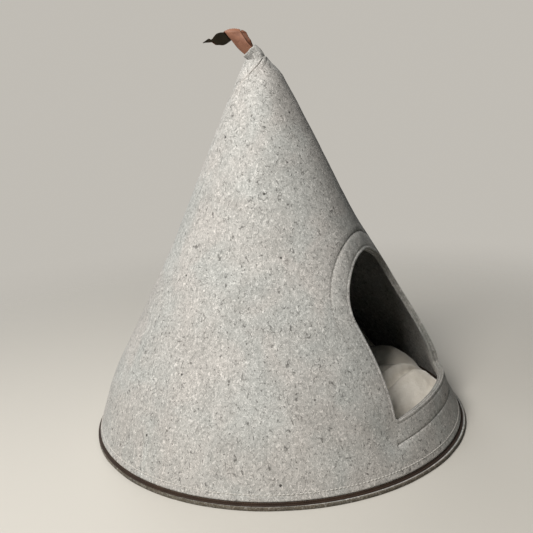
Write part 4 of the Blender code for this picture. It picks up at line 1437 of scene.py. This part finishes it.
def tape_material(name):
    """Woven nylon tape: fine ribs and a little wear."""
    light, dark = TAPES[name]
    made, shader, nodes = new_material(name, 0.65, 0.15)
    wear = nodes.ramp(nodes.noise(14.0, 3.0), 0.3, 0.75)
    rib = nodes.noise(0.7, 2.0, (3.0, 5.0, 1.0), 0.0, 0.6)
    nodes.finish(shader, nodes.mix(nodes.total((0.5, wear), (0.5, rib)), dark, light), rib)
    return made


def plush_material():
    """Cream short-pile plush, softly mottled by the way its pile lies."""
    made, shader, nodes = new_material("plush", 0.9, 0.45, 0.35)
    lie = nodes.ramp(nodes.noise(19.0, 2.0, (9.0, 3.0, 5.0), 0.8), 0.3, 0.7)
    tuft = nodes.noise(2.6, 3.0, (3.0, 8.0, 7.0), 0.4, 0.65)
    fine = nodes.noise(0.9, 3.0, (5.0, 5.0, 5.0), 0.2, 0.7)
    colour = nodes.mix(nodes.total((0.45, lie), (0.55, tuft)), *PLUSH_COLOURS)
    nodes.finish(shader, colour, nodes.total((0.7, tuft), (0.3, fine)), 0.7, 1.2)
    return made


def leather_material(name):
    """Leather with fine grain and uneven colour."""
    light, dark, roughness, grain = LEATHERS[name]
    made, shader, nodes = new_material(name, roughness)
    cloud = nodes.ramp(nodes.noise(7.0, 3.0, (2.0, 7.0, 4.0), 0.5), 0.3, 0.7)
    fine = nodes.noise(grain, 3.0, (8.0, 2.0, 6.0), 0.4, 0.65)
    nodes.finish(shader, nodes.mix(nodes.total((0.6, cloud), (0.4, fine)), dark, light), fine)
    return made


# ---------------------------------------------------------------- scene


def add_camera():
    """The photograph's camera."""
    heading, pitch, roll = CAMERA_HEADING, CAMERA_PITCH, CAMERA_ROLL
    ahead = Vector((math.sin(heading), math.cos(heading), 0.0))
    forward = ahead * math.cos(pitch) - Vector((0.0, 0.0, math.sin(pitch)))
    right = Vector((math.cos(heading), -math.sin(heading), 0.0))
    down = ahead * -math.sin(pitch) - Vector((0.0, 0.0, math.cos(pitch)))
    rolled_right = right * math.cos(roll) + down * math.sin(roll)
    rolled_down = down * math.cos(roll) - right * math.sin(roll)
    camera = bpy.data.objects.new("camera", bpy.data.cameras.new("camera"))
    camera.data.lens = CAMERA_LENS
    camera.data.sensor_width = SENSOR_WIDTH
    camera.data.clip_start = 0.02
    turn = Matrix((rolled_right, -rolled_down, -forward)).transposed().to_4x4()
    camera.matrix_world = Matrix.Translation(CAMERA_PLACE) @ turn
    bpy.context.scene.collection.objects.link(camera)
    bpy.context.scene.camera = camera


def add_light(name, place, size, power, colour):
    """A square area light that faces the object."""
    light = bpy.data.lights.new(name, "AREA")
    light.size = size
    light.energy = power
    light.color = colour
    made = bpy.data.objects.new(name, light)
    made.location = place
    ahead = Vector(LIGHT_TARGET) - Vector(place)
    made.rotation_euler = ahead.to_track_quat("-Z", "Y").to_euler()
    bpy.context.scene.collection.objects.link(made)


BACKGROUND = (0.53, 0.505, 0.46)        # seen behind the object
FILL = (0.80, 0.95, 1.0)
FILL_STRENGTH = 0.035
FLOOR_COLOUR = (0.60, 0.575, 0.53)
FLOOR_FADE = (300.0, 900.0)             # distances over which the floor goes into the background
FLOOR_SIDE = 2000.0
LIGHT_TARGET = (0.0, 0.0, 0.20)
LIGHTS = [
    # name, place, size (in metres), power, colour
    ("key", (-0.95, 0.10, 1.25), 0.50, 22.5, (1.0, 0.968, 0.915)),
    ("rear", (-0.60, 0.50, 1.30), 0.60, 4.0, (0.93, 0.97, 1.0)),
    ("back", (1.2, 1.2, 1.3), 1.0, 10.0, (1.0, 0.98, 0.96)),
]


def mix_shaders(nodes, share, first, second, output):
    """Goes over from the first shader to the second one by a share."""
    inputs = {0: share, 1: first.outputs[0], 2: second.outputs[0]}
    both = nodes.add("MixShader", inputs)
    nodes.set(nodes.tree.nodes[output].inputs["Surface"], both.outputs[0])


def add_world():
    """A pale even background that gives only a little light."""
    world = bpy.data.worlds.new("world")
    world.use_nodes = True
    nodes = Nodes(world.node_tree)
    fill = world.node_tree.nodes["Background"]
    nodes.set(fill.inputs["Color"], FILL)
    nodes.set(fill.inputs["Strength"], FILL_STRENGTH)
    seen = nodes.add("Background", {"Color": BACKGROUND})
    path = nodes.add("LightPath", {})
    mix_shaders(nodes, path.outputs["Is Camera Ray"], fill, seen, "World Output")
    bpy.context.scene.world = world


def floor_material():
    """Pale and matt near the object, and nothing further out."""
    made, shader, nodes = new_material("floor", 0.75)
    nodes.set(shader.inputs["Base Color"], FLOOR_COLOUR)
    away = nodes.add("VectorMath", {0: nodes.place}, operation="LENGTH").outputs["Value"]
    clear = nodes.add("BsdfTransparent", {})
    mix_shaders(nodes, nodes.ramp(away, *FLOOR_FADE), shader, clear, "Material Output")
    return made


def add_stage():
    """A plain pale floor and soft studio lights."""
    side = FLOOR_SIDE
    corners = [(-side, -side, 0), (side, -side, 0), (side, side, 0), (-side, side, 0)]
    mesh_object("floor", corners, [(0, 1, 2, 3)], [floor_material()])
    add_world()
    for light in LIGHTS:
        add_light(*light)
    bpy.context.scene.view_settings.view_transform = "Standard"


# ---------------------------------------------------------------- main


def dress(piece, slot, *nodes):
    """Says what a piece rides on and hides the nodes that it replaces. The slot is not used."""
    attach(piece, "root")
    if nodes:
        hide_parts(*nodes)
    return piece


def make_felt():
    """The shell, its facing, the base and the collar."""
    felt, felt_cut_painted_shade, base_edge = (felt_material(name) for name in FELTS)
    # The shell's and the facing's cut edges take the felt with painted shade.
    shell = dress(make_shell([felt, felt_cut_painted_shade]), "felt_grey", "shell")
    facing = dress(make_facing([felt, felt_cut_painted_shade]), "felt_grey", "entrance_facing")
    base = dress(make_base([felt, base_edge]), "felt_grey", "base_disc")
    dress(make_collar(felt), "felt_grey", "apex_collar")
    panel_outline()
    moved_aside(ENTRANCE, FACING_WIDTH)


def make_trim():
    """The threads, the zip and the leather strips."""
    grey, pale = (thread_material(name) for name in THREADS)
    dress(make_stitches(grey), "felt_grey")
    # The hem line takes the thread painted paler, as painted light.
    dress(make_hem_stitches(pale), "felt_grey")
    tape, coil = (tape_material(name) for name in TAPES)
    for piece in (*make_tapes(tape), make_coil(coil)):
        dress(piece, "zip_brown", "base_zip")
    grain, flesh, brown, edge = (leather_material(name) for name in LEATHERS)
    bends = [(cup, 0.0) for cup in STRAP_CUP]
    strip = make_strip("strap_grain", strap_edges(), bends, 0.0, [grain, flesh, edge])
    dress(strip, "leather_tan", "strap_front")
    bends = [(0.0, curl) for curl in STRAP_BACK_CURL]
    behind = STRAP_THICKNESS + STRAP_GAP
    strip = make_strip("strap_behind", back_strap_edges(), bends, behind, [brown, flesh, edge])
    dress(strip, "leather_brown", "strap_back")


def main():
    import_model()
    make_felt()
    make_trim()
    dress(make_cushion(plush_material()), "plush_cream", "cushion")
    add_camera()
    add_stage()


main()
